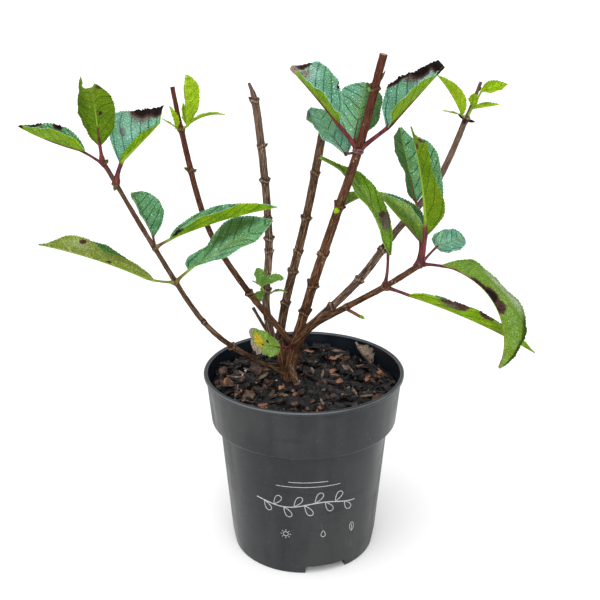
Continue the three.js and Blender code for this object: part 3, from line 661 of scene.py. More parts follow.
class Flow:
    """A shader socket that can be used in sums."""

    def __init__(self, finish, socket):
        self.finish = finish
        self.socket = socket

    def maths(self, operation, *values):
        return self.finish.node("Math", {"operation": operation}, dict(enumerate(values)))

    def __add__(self, other):
        return self.maths("ADD", self, other)

    def __sub__(self, other):
        return self.maths("SUBTRACT", self, other)

    def __rsub__(self, other):
        return self.maths("SUBTRACT", other, self)

    def __mul__(self, other):
        return self.maths("MULTIPLY", self, other)

    def __pow__(self, other):
        return self.maths("POWER", self, other)

    def __abs__(self):
        return self.maths("ABSOLUTE", self)

    def sine(self):
        return self.maths("SINE", self)

    def cosine(self):
        return self.maths("COSINE", self)

    def fraction(self):
        return self.maths("FRACT", self)

    __radd__ = __add__
    __rmul__ = __mul__


class Finish:
    """A procedural material, built round one shader."""

    def __init__(self, name, **constants):
        self.material = bpy.data.materials.new(name)
        self.material.use_nodes = True
        self.tree = self.material.node_tree
        self.shader = next(n for n in self.tree.nodes if n.type == "BSDF_PRINCIPLED")
        for key, value in constants.items():
            self.shader.inputs[key.replace("_", " ").title().replace("Ior", "IOR")].default_value = value

    def node(self, kind, settings=None, inputs=None, output=0):
        """A node of a kind, with its settings, what feeds it and the output that is read."""
        made = self.tree.nodes.new("ShaderNode" + kind)
        for key, value in (settings or {}).items():
            setattr(made, key, value)
        for key, value in (inputs or {}).items():
            if isinstance(value, Flow):
                self.tree.links.new(value.socket, made.inputs[key])
            else:
                made.inputs[key].default_value = value
        return Flow(self, made.outputs[output])

    def place(self, scale=(1, 1, 1)):
        """Object coordinates in metres, stretched by scale."""
        spot = self.node("TexCoord", output="Object")
        return self.node("Mapping", {}, {"Vector": spot, "Scale": scale})

    def across_along(self):
        """The piece's own map: across from 0 to 1, and along from 0 to 1."""
        spot = self.node("TexCoord", output="UV")
        parts = self.node("SeparateXYZ", {}, {0: spot})
        return parts, Flow(self, parts.socket.node.outputs[1])

    def noise(self, vector, scale, detail=3, rough=0.55):
        """Cloudy noise from 0 to 1."""
        return self.node("TexNoise", {}, {"Vector": vector, "Scale": scale, "Detail": detail,
                                          "Roughness": rough})

    def cells(self, vector, scale, feature="DISTANCE_TO_EDGE"):
        """The distance to the edge or to the middle of the nearest cell."""
        return self.node("TexVoronoi", {"feature": feature}, {"Vector": vector, "Scale": scale})

    def step(self, value, low, high, bottom=0.0, top=1.0):
        """A smooth step of value from low to high."""
        return self.node("MapRange", {"interpolation_type": "SMOOTHSTEP"}, {
            "Value": value, "From Min": low, "From Max": high, "To Min": bottom, "To Max": top,
        })

    def mix(self, share, first, second):
        """A colour between two colours."""
        full = [c if isinstance(c, Flow) else (*c, 1)[:4] for c in (first, second)]
        return self.node("Mix", {"data_type": "RGBA"}, {0: share, 6: full[0], 7: full[1]}, output=2)

    def mottle(self, scale, first, second, detail=4):
        """Two colours that a fine noise deals out."""
        return self.mix(self.noise(self.place(), scale, detail), first, second)

    def attribute(self, name):
        """A number that the piece keeps for each of its vertices."""
        return self.node("Attribute", {"attribute_name": name}, output=2)

    def done(self, colour=None, roughness=None, height=None, depth=0.0003):
        """Links what varies to the shader, and returns the material."""
        for key, value in (("Base Color", colour), ("Roughness", roughness)):
            if value is not None:
                self.tree.links.new(value.socket, self.shader.inputs[key])
        if height is not None:
            bump = self.node("Bump", {}, {"Strength": 1.0, "Distance": depth, "Height": height})
            self.tree.links.new(bump.socket, self.shader.inputs["Normal"])
        return self.material


def vein_pattern(look):
    """The midrib, the side veins, the rungs between them and the edge of a blade, as masks."""
    across, along = look.across_along()
    off = abs(across * 2 - 1)
    full = (along ** LEAF["widest"] * math.pi).sine() ** LEAF["fullness"]
    away = off * full
    midrib = look.step(away, 0.015, 0.05, 1.0, 0.0)
    sway = (look.noise(look.place(), 55, 2) - 0.5) * 0.5
    phase = (along - away * VEIN["lean"] - away * away * VEIN["arch"]) * VEIN["pairs"] + sway
    saw = abs((phase + 0.5).fraction() - 0.5)
    side = look.step(saw, 0.012, 0.07, 1.0, 0.0)
    fine = ((along + away * 0.5) * 31 + sway * 14).fraction()
    rungs = look.step(abs(fine - 0.5), 0.32, 0.48)
    return midrib, side, rungs, look.step(off, 0.955, 0.99)


def leaf_face(name, base, deep, light, vein, rib, vein_share, net_share, roughness):
    """One face of a leaf: mottled, with its midrib, side veins, fine net and patches."""
    look = Finish(name, roughness=roughness, specular_ior_level=0.14)
    spot = look.place()
    midrib, side, rungs, edge = vein_pattern(look)
    blotch = look.noise(spot, 75, 5, 0.65)
    colour = look.mix(look.step(blotch, 0.38, 0.66), base, deep)
    warm = look.step(look.noise(spot, 30, 2), 0.46, 0.68)
    colour = look.mix(warm * 0.4, colour, (base[0] * 1.3, base[1] * 0.95, base[2] * 0.35))
    wobble = look.node("VectorMath", {"operation": "MULTIPLY_ADD"}, {
        0: look.node("TexNoise", {}, {"Vector": spot, "Scale": 500.0}, output=1),
        1: (0.0016, 0.0016, 0.0016), 2: spot})
    near = look.cells(wobble, 420)
    puff = look.step(near, 0.04, 0.32)
    glint = look.step(look.noise(spot, 150, 5, 0.75), 0.46, 0.66)
    # Painted highlight: the middles of the puffed cells are lightened toward the shine colour where the
    # glint noise is high.
    colour = look.mix(puff * glint * 0.85, colour, light)
    net = look.step(near, 0.0, 0.13, 1.0, 0.0)
    colour = look.mix(net * net_share, colour, vein)
    patchy = look.step(look.noise(spot, 120, 3), 0.4, 0.6)
    colour = look.mix(rungs * patchy * net_share * 0.9, colour, vein)
    colour = look.mix(side * vein_share, colour, vein)
    colour = look.mix(midrib * 0.85, colour, rib)
    colour = look.mix(edge * 0.55, colour, light)
    fray = look.noise(spot, 380, 5, 0.65) - 0.5
    # The deep layer is painted shade and the pale layer painted sheen; yellow, dry and plum are the
    # leaf's own colour.
    layers = (
        ("deep", 0.5, 0.1, 0.9, 0.9, (deep[0] * 0.42, deep[1] * 0.36, deep[2] * 0.12)),
        ("pale", 0.8, 0.15, 1.1, 0.75, tuple(0.55 * c + 0.3 for c in light)),
        ("yellow", 1, 0.35, 0.7, 1, (0.60, 0.42, 0.02)),
        ("dry", 0.8, 0.4, 0.65, 1, look.mottle(600, (0.46, 0.37, 0.30), (0.22, 0.15, 0.11))),
        ("plum", 0.9, 0.2, 0.75, 0.85, look.mottle(500, (0.16, 0.105, 0.115), (0.09, 0.05, 0.05))),
    )
    for kind, ragged, low, high, strength, tone in layers:
        mask = look.step(look.attribute(kind) + fray * ragged, low, high)
        colour = look.mix(mask * strength, colour, tone)
    burnt = look.attribute("scorch") + fray * 0.9
    brown = look.step(burnt, 0.25, 0.55)
    colour = look.mix(brown, colour, look.mottle(700, (0.10, 0.045, 0.03), (0.06, 0.03, 0.028)))
    colour = look.mix(look.step(burnt, 0.65, 0.95), colour, (0.012, 0.007, 0.006))
    height = (puff * 0.8 + look.noise(spot, 1100, 3) * 0.35 - side * 0.9 - midrib * 0.6
              - rungs * patchy * 0.4)
    rough = look.step(brown + (glint - 0.5) * 0.3, 0.0, 1.0, roughness, 0.9)
    return look.done(colour, rough, height, 0.0012)


def stalk_skin(name):
    """A leaf stalk, wine red at its foot and green where it runs on as the midrib."""
    look = Finish(name, roughness=0.42, specular_ior_level=0.2)
    spot = look.place()
    streak = look.noise(look.place((1, 1, 0.3)), 420, 4)
    wine = look.mix(look.step(streak, 0.35, 0.65), (0.040, 0.007, 0.012), (0.150, 0.024, 0.024))
    green = look.mottle(200, (0.14, 0.24, 0.008), (0.22, 0.33, 0.03), 3)
    share = look.attribute("wine") + (look.noise(spot, 160, 3) - 0.5) * 0.5
    colour = look.mix(look.step(share, 0.3, 0.7), green, wine)
    return look.done(colour, None, streak, 0.0003)


def bark(name, dark, light, streak, speck, tip):
    """Bark with lengthwise ridges and cracks, pale pores, pale rings at the nodes and a younger tip."""
    look = Finish(name, roughness=0.78, specular_ior_level=0.12)
    angle = look.across_along()[0] * TURN
    spot = look.place()
    reach = look.attribute("reach")
    fibres = look.node("CombineXYZ", {}, {"X": angle.cosine() * 3.4, "Y": angle.sine() * 3.4,
                                          "Z": reach * 60})
    ridges = look.noise(fibres, 1.6, 6, 0.72)
    flakes = look.noise(fibres, 4.2, 4, 0.7)
    colour = look.mix(look.step(look.noise(spot, 60, 4), 0.35, 0.68), dark, light)
    colour = look.mix(look.step(ridges, 0.5, 0.62) * 0.95, colour, streak)
    colour = look.mix(look.step(flakes, 0.58, 0.72) * 0.6, colour, speck)
    colour = look.mix(look.step(reach, 0.15, 0.23) * 0.75, colour, tip)
    crack = look.step(ridges, 0.37, 0.49, 1.0, 0.0)
    colour = look.mix(crack * 0.9, colour, tuple(c * 0.2 for c in dark))
    pores = look.step(look.cells(look.place((1, 1, 0.6)), 230, "F1"), 0.1, 0.2, 1.0, 0.0)
    chosen = look.step(look.noise(spot, 170, 1), 0.52, 0.6)
    colour = look.mix(pores * chosen * 0.9, colour, speck)
    ring = look.attribute("ring") + (flakes - 0.5) * 1.3
    colour = look.mix(look.step(ring, 0.6, 1.0) * 0.5, colour, speck)
    colour = look.mix(look.step(look.attribute("scar") + (flakes - 0.5), 0.35, 0.8) * 0.9, colour,
                      tuple(c * 0.25 for c in dark))
    height = ridges * 1.2 + pores * chosen * 0.5 + look.noise(spot, 1300, 3) * 0.5
    return look.done(colour, None, height, 0.0015)


def cut_wood(name):
    """The pale, weathered end of a cut cane."""
    look = Finish(name, roughness=0.8)
    colour = look.mottle(500, (0.42, 0.30, 0.18), (0.20, 0.12, 0.07))
    return look.done(colour, None, look.noise(look.place(), 1500, 3), 0.0003)


def pot_plastic(name, base, warm, scuff):
    """Dark moulded plastic with a dusty bloom, faint vertical flow marks, scuffs and fine grain."""
    look = Finish(name, specular_ior_level=0.3)
    spot = look.place()
    cloud = look.noise(spot, 11, 4, 0.6)
    flow = look.noise(look.place((1, 1, 0.06)), 60, 3)
    colour = look.mix(look.step(cloud * 0.65 + flow * 0.35, 0.4, 0.62), base, warm)
    smear = look.noise(look.place((0.5, 0.5, 3.2)), 22, 4, 0.6)
    colour = look.mix(look.step(smear, 0.56, 0.7) * 0.55, colour, tuple(c * 0.5 for c in base))
    rise = look.node("SeparateXYZ", {}, {0: spot}, output=2)
    # Painted highlight: a thin bluish band just under the top of the rim.
    lip = look.step(rise, 0.1801, 0.1809) * look.step(rise, 0.1813, 0.1818, 1.0, 0.0)
    colour = look.mix(lip * look.step(cloud, 0.3, 0.6, 0.25, 0.8), colour, (0.11, 0.13, 0.155))
    dust = look.step(look.noise(spot, 320, 5, 0.7), 0.58, 0.78)
    colour = look.mix(dust * 0.3, colour, scuff)
    scratch = look.step(look.noise(look.place((1, 1, 0.12)), 520, 2), 0.68, 0.74)
    colour = look.mix(scratch * look.step(cloud, 0.5, 0.7) * 0.35, colour, scuff)
    rough = look.step(flow + (cloud - 0.5) * 0.9 - smear * 0.3, 0.15, 0.6, 0.27, 0.5)
    height = look.noise(spot, 1800, 2) * 0.6 + flow * 0.4
    return look.done(colour, rough, height, 0.00006)


def chip_wood(name, dark, light):
    """A bark chip: fibrous, damp and uneven, with paler worn ridges."""
    look = Finish(name, specular_ior_level=0.22)
    spot = look.place()
    fibre = look.noise(look.place((1, 0.35, 2.2)), 300, 5, 0.72)
    patch = look.noise(spot, 110, 3)
    colour = look.mix(look.step(fibre * 0.6 + patch * 0.4, 0.40, 0.60), dark, light)
    # Painted glint: paler flecks lighten the chip.
    painted_glint = look.step(look.noise(look.place((0.5, 1.6, 1)), 420, 4, 0.7), 0.58, 0.70)
    colour = look.mix(painted_glint * 0.7, colour, tuple(c * 1.5 + 0.035 for c in light))
    rough = look.step(patch, 0.35, 0.65, 0.22, 0.7)
    return look.done(colour, rough, fibre + look.noise(spot, 1100, 3) * 0.6, 0.0010)


def printed_ink():
    """Pale ink of the ornament on the pot."""
    look = Finish("pale_ink", roughness=0.6)
    wear = look.noise(look.place(), 600, 3)
    colour = look.mix(look.step(wear, 0.4, 0.7), (0.40, 0.42, 0.43), (0.26, 0.28, 0.29))
    return look.done(colour, None, wear, 0.00004)


def floor_finish(colour):
    """A plain pale floor with the faintest mottle."""
    look = Finish("pale_floor", roughness=0.9, specular_ior_level=0.1)
    return look.done(look.mottle(2, colour[:3], tuple(c * 0.99 for c in colour[:3]), 2))


FINISHES = {}


def finish_named(name, make, *settings):
    """A finish that is made once and shared."""
    if name not in FINISHES:
        FINISHES[name] = make(name, *settings)
    return FINISHES[name]


# Leaf tints: the ground, the deeper ground, the shine, the veins and the midrib, of the upper face
# and then of the lower one. A single row serves both faces.
TINTS = {
    "blue": [
        ((0.185, 0.45, 0.215), (0.105, 0.31, 0.11), (0.38, 0.68, 0.46), (0.014, 0.08, 0.022),
         (0.18, 0.34, 0.1)),
        ((0.14, 0.262, 0.002), (0.085, 0.185, 0.002), (0.23, 0.37, 0.01), (0.07, 0.15, 0.002),
         (0.17, 0.27, 0.02)),
    ],
    # Teal: the upper face's blue-green cast is painted sky reflection.
    "teal": [
        ((0.225, 0.54, 0.375), (0.14, 0.39, 0.22), (0.46, 0.8, 0.67), (0.022, 0.115, 0.06),
         (0.2, 0.36, 0.14)),
        ((0.18, 0.33, 0.01), (0.12, 0.25, 0.006), (0.28, 0.44, 0.06), (0.25, 0.4, 0.05),
         (0.26, 0.36, 0.06)),
    ],
    # Only used for lower faces: the underside's own yellow-green, brightened by painted glow of light
    # shining through the leaf.
    "bright": [
        ((0.23, 0.42, 0.003), (0.14, 0.3, 0.002), (0.36, 0.57, 0.02), (0.12, 0.25, 0.002),
         (0.34, 0.44, 0.05)),
    ],
    "grass": [
        ((0.19, 0.37, 0.018), (0.12, 0.27, 0.008), (0.33, 0.53, 0.13), (0.07, 0.19, 0.008),
         (0.32, 0.46, 0.13)),
        ((0.135, 0.27, 0.012), (0.08, 0.19, 0.006), (0.3, 0.48, 0.15), (0.27, 0.43, 0.09),
         (0.24, 0.26, 0.06)),
    ],
    "olive": [
        ((0.11, 0.3, 0.085), (0.065, 0.19, 0.03), (0.22, 0.44, 0.22), (0.03, 0.09, 0.015),
         (0.22, 0.32, 0.09)),
        ((0.165, 0.245, 0.008), (0.1, 0.165, 0.004), (0.27, 0.35, 0.05), (0.52, 0.58, 0.2),
         (0.6, 0.64, 0.28)),
    ],
    "young": [
        ((0.4, 0.63, 0.004), (0.27, 0.49, 0.002), (0.56, 0.78, 0.04), (0.2, 0.4, 0.002),
         (0.34, 0.54, 0.01)),
        ((0.37, 0.6, 0.006), (0.25, 0.46, 0.003), (0.52, 0.74, 0.05), (0.46, 0.66, 0.04),
         (0.5, 0.66, 0.08)),
    ],
    "spring": [
        ((0.24, 0.45, 0.09), (0.15, 0.33, 0.045), (0.42, 0.63, 0.27), (0.08, 0.22, 0.02),
         (0.34, 0.5, 0.15)),
        ((0.25, 0.45, 0.09), (0.17, 0.34, 0.05), (0.42, 0.6, 0.24), (0.36, 0.54, 0.16),
         (0.38, 0.54, 0.2)),
    ],
    "fading": [
        ((0.155, 0.33, 0.008), (0.1, 0.24, 0.006), (0.27, 0.44, 0.1), (0.32, 0.48, 0.16),
         (0.36, 0.5, 0.16)),
        ((0.2, 0.32, 0.08), (0.16, 0.26, 0.04), (0.34, 0.42, 0.2), (0.38, 0.44, 0.2),
         (0.38, 0.44, 0.2)),
    ],
    "mauve": [
        ((0.21, 0.115, 0.125), (0.12, 0.045, 0.055), (0.36, 0.24, 0.25), (0.15, 0.06, 0.07),
         (0.2, 0.1, 0.1)),
    ],
    "bud": [
        ((0.145, 0.15, 0.03), (0.085, 0.07, 0.02), (0.3, 0.33, 0.11), (0.1, 0.07, 0.03),
         (0.2, 0.2, 0.06)),
    ],
    "dead": [
        ((0.022, 0.012, 0.008), (0.01, 0.006, 0.005), (0.09, 0.06, 0.045), (0.01, 0.006, 0.005),
         (0.03, 0.02, 0.01)),
    ],
    "dry": [
        ((0.2, 0.125, 0.08), (0.1, 0.056, 0.036), (0.36, 0.25, 0.18), (0.08, 0.045, 0.03),
         (0.28, 0.19, 0.13)),
        ((0.17, 0.1, 0.068), (0.08, 0.046, 0.03), (0.32, 0.22, 0.16), (0.08, 0.045, 0.03),
         (0.28, 0.19, 0.13)),
    ],
}

# Barks: the dark ground, the lighter ground, the ridges, the pores and the younger bark at the top.
BARKS = {
    "brown": ((0.034, 0.016, 0.008), (0.1, 0.053, 0.028), (0.31, 0.19, 0.11), (0.48, 0.35, 0.24),
              (0.13, 0.066, 0.036)),
    "red": ((0.038, 0.013, 0.005), (0.098, 0.039, 0.017), (0.25, 0.125, 0.064), (0.45, 0.31, 0.2),
            (0.12, 0.03, 0.02)),
    "grey": ((0.044, 0.023, 0.014), (0.115, 0.067, 0.043), (0.4, 0.275, 0.19), (0.55, 0.43, 0.33),
             (0.17, 0.105, 0.075)),
    "young": ((0.15, 0.055, 0.03), (0.21, 0.09, 0.05), (0.27, 0.14, 0.08), (0.42, 0.33, 0.22),
              (0.21, 0.09, 0.05)),
    "shaggy": ((0.05, 0.02, 0.01), (0.165, 0.075, 0.034), (0.32, 0.165, 0.085), (0.44, 0.29, 0.18),
               (0.165, 0.075, 0.034)),
}


def leaf_finishes(tint, lower_tint=None):
    """The upper face, the lower face and the stalk of a leaf of that tint."""
    lower_tint = lower_tint or tint
    return (
        finish_named(f"leaf_{tint}_upper", leaf_face, *TINTS[tint][0], 0.8, 0.6, 0.5),
        finish_named(f"leaf_{lower_tint}_lower", leaf_face, *TINTS[lower_tint][-1], 0.7, 0.35, 0.55),
        finish_named("leaf_stalk", stalk_skin),
    )


def bark_finishes(kind):
    """The bark of that kind, and the wood of its cut end."""
    return finish_named(f"bark_{kind}", bark, *BARKS[kind]), finish_named("cut_wood", cut_wood)


# ---- pot and compost ----


def arc(middle, radius, first, last, count=5):
    """Points of an arc in the pot's profile."""
    angles = np.radians(np.linspace(first, last, count))
    return [(middle[0] + radius * math.cos(a), middle[1] + radius * math.sin(a)) for a in angles]


def turned(name, profile, segments):
    """A solid of revolution: a disc at the foot, extruded and resized ring by ring."""
    deselect()
    radius, height = profile[0]
    bpy.ops.mesh.primitive_circle_add(
        vertices=segments, radius=radius * MM, fill_type="NGON", location=(0, 0, height * MM)
    )
    piece = settle(named(name))
    bpy.ops.object.mode_set(mode="EDIT")
    bpy.ops.mesh.select_all(action="SELECT")
    for (r0, z0), (r1, z1) in zip(profile, profile[1:]):
        bpy.ops.mesh.extrude_region_move(TRANSFORM_OT_translate={"value": (0, 0, (z1 - z0) * MM)})
        bpy.ops.transform.resize(value=(r1 / r0, r1 / r0, 1), center_override=(0, 0, z1 * MM))
    bpy.ops.mesh.select_all(action="SELECT")
    bpy.ops.mesh.normals_make_consistent(inside=False)
    bpy.ops.object.mode_set(mode="OBJECT")
    return piece


def pot_inside():
    """The profile of the space inside the pot's wall, from the floor to the collar."""
    wall = POT["wall"]
    return [
        (POT["foot_flat"] - wall, POT["floor"]),
        (POT["body"] - wall, POT["body_z"]),
        (POT["neck"] - wall, POT["neck_z"]),
        (POT["collar_foot"] - wall, POT["collar_z"]),
        (POT["collar_top"] - wall, POT["lip_under"]),
    ]


def notch_bearing(k):
    """The bearing of one of the notches in the pot's foot."""
    return math.radians(NOTCH["first"] + 360 * k / NOTCH["count"])


def foot_blocks(grow):
    """Three arched blocks that point in from the pot's foot."""
    outer, below = POT["body"] + NOTCH["outside"], NOTCH["below"]
    reach = outer - (POT["foot"] - NOTCH["depth"]) + grow
    top = NOTCH["rise"] + grow
    blocks = []
    for k in range(NOTCH["count"]):
        deselect()
        middle = ((outer - reach / 2) * MM, 0, (top - below) / 2 * MM)
        bpy.ops.mesh.primitive_cube_add(size=1, location=middle)
        block = named(f"foot_block_{k}")
        block.scale = (reach * MM, (NOTCH["width"] + 2 * grow) * MM, (top + below) * MM)
        settle(block)
        apply_modifier(block, "BEVEL", width=(NOTCH["corner"] + grow) * MM, segments=3)
        block.rotation_euler = (0, 0, notch_bearing(k))
        blocks.append(settle(block))
    return join(blocks, "foot_blocks")


def drain_holes():
    """Three slots that go up through the roofs of the notches."""
    middle = POT["foot"] - NOTCH["depth"] / 2 - NOTCH["inset"]
    wide, deep = NOTCH["hole"]
    holes = []
    for k in range(NOTCH["count"]):
        deselect()
        bpy.ops.mesh.primitive_cylinder_add(vertices=24, radius=0.5, depth=8 * MM)
        hole = named(f"drain_hole_{k}")
        hole.scale = (deep * MM, wide * MM, 1)
        hole.location = (middle * MM, 0, NOTCH["rise"] * MM)
        settle(hole)
        hole.rotation_euler = (0, 0, notch_bearing(k))
        holes.append(settle(hole))
    return join(holes, "drain_holes")


def cut_away(piece, tool):
    """Cuts the tool's solid out of the piece, and removes the tool."""
    apply_modifier(piece, "BOOLEAN", operation="DIFFERENCE", solver="EXACT", object=tool)
    bpy.data.objects.remove(tool)


def build_pot(settings):
    """The moulded pot, with its rolled rim, collar and drained foot."""
    height, lip = POT["height"], 1.7
    outside = [
        (POT["foot_flat"], 0),
        *arc((POT["foot"] - POT["wall"], POT["wall"]), POT["wall"], -60, 0, 4),
        (POT["body"], POT["body_z"]),
        (POT["neck"] - 0.2, POT["neck_z"] - 2),
        *arc((POT["neck"] + 1.6, POT["neck_z"]), 1.6, 180, 110, 4),
        *arc((POT["collar_foot"] - 2.2, POT["collar_z"] - 0.6), 2.2, -50, 0, 5),
        (POT["collar_top"], POT["lip_under"] - 1),
        *arc((POT["rim"] - lip, POT["lip_under"] + lip), lip, -80, 0, 5),
        *arc((POT["rim"] - lip, height - lip), lip, 0, 90, 5),
        *arc((POT["lip_inner"] + lip, height - lip), lip, 91, 180, 5),
    ]
    mouth = POT["lip_inner"] - 0.01
    hollow = turned("pot_hollow", [*pot_inside(), (mouth, POT["lip_under"] + 0.3), (mouth, height + 5)],
                    settings.segments)
    cut_away(hollow, foot_blocks(POT["wall"]))
    pot = turned("nursery_pot", outside, settings.segments)
    cut_away(pot, hollow)
    cut_away(pot, foot_blocks(0))
    cut_away(pot, drain_holes())
    soften(pot, 35)
    inside = tuple(settings.inside)
    colour, warm = tuple(settings.colour), tuple(settings.warm)
    # The inward-facing wall gets a darker, bluer copy of the plastic: painted shade.
    paint(pot, pot_plastic("pot_plastic", colour, warm, (0.16, 0.17, 0.17)),
          pot_plastic("pot_inside", inside, inside, (0.04, 0.05, 0.06)))
    for face in pot.data.polygons:
        middle = face.center
        facing = middle.x * face.normal.x + middle.y * face.normal.y
        if facing < 0 and POT["floor"] * MM < middle.z < (height - 2.5) * MM:
            face.material_index = 1
    finish_piece(pot, "pot_plastic", "pot")


def on_pot(x, z):
    """A point of the pot's body, x millimetres round from the front, at a height."""
    radius = read_off([(POT["body_z"], POT["body"]), (POT["neck_z"], POT["neck"])], z)
    angle = -math.pi / 2 + x / radius
    return (radius * math.cos(angle), radius * math.sin(angle), z)


def sprig_line(settings, x):
    """The height of the sprig's stem."""
    return settings.sprig_z + SPRIG["wave"] * math.sin(x / SPRIG["wave_length"])


def sprig_leaf(settings, k):
    """The outline of one leaf of the sprig, which lean up and down by turns."""
    x = SPRIG["first"] + SPRIG["pitch"] * k
    z = sprig_line(settings, x)
    lean = math.radians(SPRIG["lean"] if k % 2 else -SPRIG["lean"])
    size = SPRIG["leaf"] - 0.4 * abs(k - SPRIG["leaves"] // 2)
    outline = []
    for t in np.linspace(0, 1, 22):
        along = size * math.sin(math.pi * t)
        wide = SPRIG["leaf_width"] * math.sin(TURN * t)
        outline.append((x + along * math.cos(lean) - wide * math.sin(lean),
                        z + along * math.sin(lean) + wide * math.cos(lean)))
    return outline


def care_signs(z):
    """A sun, a drop and a leaf, each as outlines with the radius of their strokes."""
    sun, drop, leaf = SIGNS["sun"], SIGNS["drop"], SIGNS["leaf"]
    ring = [(sun + 2.4 * math.cos(a), z + 2.4 * math.sin(a)) for a in np.linspace(0, TURN, 19)]
    rays = [[(sun + r * math.cos(a), z + r * math.sin(a)) for r in (3.4, 4.2, 5.0)]
            for a in np.linspace(0, TURN, SIGNS["rays"] + 1)[:-1]]
    drop = [(drop + 2.7 * math.sin(a) * math.sin(a / 2), z + 3.6 * math.cos(a))
            for a in np.linspace(0, TURN, 22)]
    blade = [(leaf + 2.4 * math.sin(TURN * t), z + 4.6 * math.cos(math.pi * (1 - abs(1 - 2 * t))))
             for t in np.linspace(0, 1, 22)]
    stem = [(leaf, z - 6), (leaf, z - 2), (leaf, z + 2.5)]
    wide, fine = STROKE["sign"], STROKE["fine"]
    return [(ring, wide), *[(ray, fine) for ray in rays], (drop, wide), (blade, wide), (stem, fine)]


def build_print(settings):
    """A plain leafy sprig, two hairlines and three simple care signs, in thin raised ink."""
    stem = [(x, sprig_line(settings, x)) for x in np.linspace(SPRIG["left"], SPRIG["right"], 40)]
    strokes = [(stem, STROKE["stem"])]
    strokes += [(sprig_leaf(settings, k), STROKE["leaf"]) for k in range(SPRIG["leaves"])]
    for left, right, rise, count in HAIRLINES:
        line = [(x, settings.hairline_z + rise) for x in np.linspace(left, right, count)]
        strokes.append((line, STROKE["hairline"]))
    strokes += care_signs(settings.signs_z)
    pieces = []
    for k, (line, radius) in enumerate(strokes):
        spine = Spine([on_pot(x, z) for x, z in line], 3)
        rows = [(place, radius) for place in np.linspace(0, spine.length, 2 * len(line))]
        pieces.append(tube(f"stroke_{k}", spine, rows, 6))
    ink = join(pieces, "pot_ornament")
    soften(ink, 60)
    paint(ink, printed_ink())
    finish_piece(ink, "pot_plastic")


def mound(x, y):
    """How far the loose chips pile up on the compost: to the left and behind the crown."""
    clear = min(max((from_crown(x, y) - 20) / 16, 0), 1)
    pile = max(high * math.exp(-((x - px) ** 2 + (y - py) ** 2) / wide ** 2)
               for px, py, wide, high in PILES)
    return clear * pile + 0.9 * clear * noise.noise(Vector((x * 0.09, y * 0.09, 4)))


def chip_outline(rng):
    """A bark chip as two rings of points and a flat top and bottom, about one unit long."""
    count = rng.randint(6, 9)
    bow = rng.uniform(-0.9, 0.9)
    low, high = [], []
    for k in range(count):
        angle = TURN * k / count + rng.uniform(-0.28, 0.28)
        reach = rng.uniform(0.32, 0.58)
        x, y = reach * math.cos(angle), reach * rng.uniform(0.75, 1.1) * math.sin(angle)
        rise = bow * (x * x * 4 - 0.4)
        low.append((x, y, rise - 0.5))
        high.append((x * 0.86, y * 0.86, rise + 0.5 + rng.uniform(-0.25, 0.25)))
    faces = [tuple(range(count - 1, -1, -1)), tuple(range(count, 2 * count))]
    faces += [(k, (k + 1) % count, count + (k + 1) % count, count + k) for k in range(count)]
    return low + high, faces


def lay_chip(outline, middle, size, yaw, tilt, bank):
    """The points of one chip, turned and tipped about its middle."""
    turn = Vector((1, 0, 0)).rotation_difference(Vector((math.cos(yaw), math.sin(yaw), 0))).to_matrix()
    lean = turn @ Vector((tilt, bank, 1)).normalized()
    ahead = turn @ Vector((1, 0, 0))
    ahead = (ahead - lean * ahead.dot(lean)).normalized()
    beside = lean.cross(ahead)
    long, wide, thick = size
    return [tuple((middle + ahead * (x * long) + beside * (y * wide) + lean * (z * thick)) * MM)
            for x, y, z in outline]


def build_chips(settings):
    """Bark chips, slivers and crumbs, laid over the compost by a seeded rule."""
    rng = random.Random(settings.seed)
    shapes = [chip_outline(rng) for _ in range(CHIP_SHAPES)]
    weights = [weight for weight, _, _ in CHIPS.values()]
    points, faces, kinds = [], [], []
    for k in range(settings.chips + settings.crumbs):
        radius = COMPOST["reach"] * math.sqrt(rng.random())
        bearing = rng.uniform(0, TURN)
        x, y = radius * math.cos(bearing), radius * math.sin(bearing)
        long = rng.triangular(7, 20, 11) if k < settings.chips else rng.uniform(2, 5)
        kind = rng.choices(range(len(CHIPS)), weights)[0]
        if k < len(CHIP_SPOTS):
            x, y, kind, long = CHIP_SPOTS[k]
        wide = long * rng.uniform(0.4, 0.85)
        thick = min(long * 0.3, rng.uniform(0.8, 2.4))
        yaw, tilt, bank = rng.uniform(0, TURN), rng.gauss(0, 0.45), rng.gauss(0, 0.45)
        if kind == SLIVER:
            wide, long = wide * 0.4, long * 1.2
        if kind == GRIT:
            wide, long, thick = 2, 2.6, 1.2
        lift = mound(x, y) + rng.uniform(-0.6, 2.6) + thick * 0.3
        if k < len(CHIP_SPOTS):
            lift, tilt, bank = mound(x, y) + 3.4, rng.gauss(0, 0.15), -0.25
        if from_crown(x, y) < 11 + long / 2 or math.hypot(x, y) + long / 2 > COMPOST["reach"] + 1.2:
            continue
        chip_points, chip_faces = rng.choice(shapes)
        base = len(points)
        middle = Vector((x, y, heap(x, y) + lift))
        points += lay_chip(chip_points, middle, (long, wide, thick), yaw, tilt, bank)
        faces += [tuple(base + i for i in face) for face in chip_faces]
        kinds += [kind] * len(chip_faces)
    mesh = bpy.data.meshes.new("bark_chips")
    mesh.from_pydata(points, [], faces)
    chips = bpy.data.objects.new("bark_chips", mesh)
    bpy.context.collection.objects.link(chips)
    paint(chips, *[chip_wood(name, dark, light) for name, (_, dark, light) in CHIPS.items()])
    mesh.polygons.foreach_set("material_index", kinds)
    mesh.validate()
    finish_piece(chips, "bark_compost")
    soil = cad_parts["compost"]
    for index in range(len(soil.data.materials)):
        soil.data.materials[index] = chip_wood("damp_compost", *DAMP)


# ---- crown and canes ----


def past_nodes(cane, places, angles):
    """For each node: its place, the bearing of its paired leaf scars, and the distance past its line,
    which rises at those scars and dips between them."""
    rise = cane["radii"][0][1] * NODE["rise"]
    for k, node in enumerate(cane.get("nodes", [])):
        scar = math.radians(cane["turn"] + 90 * k)
        yield node, scar, places - node - rise * np.cos(2 * (angles - scar))


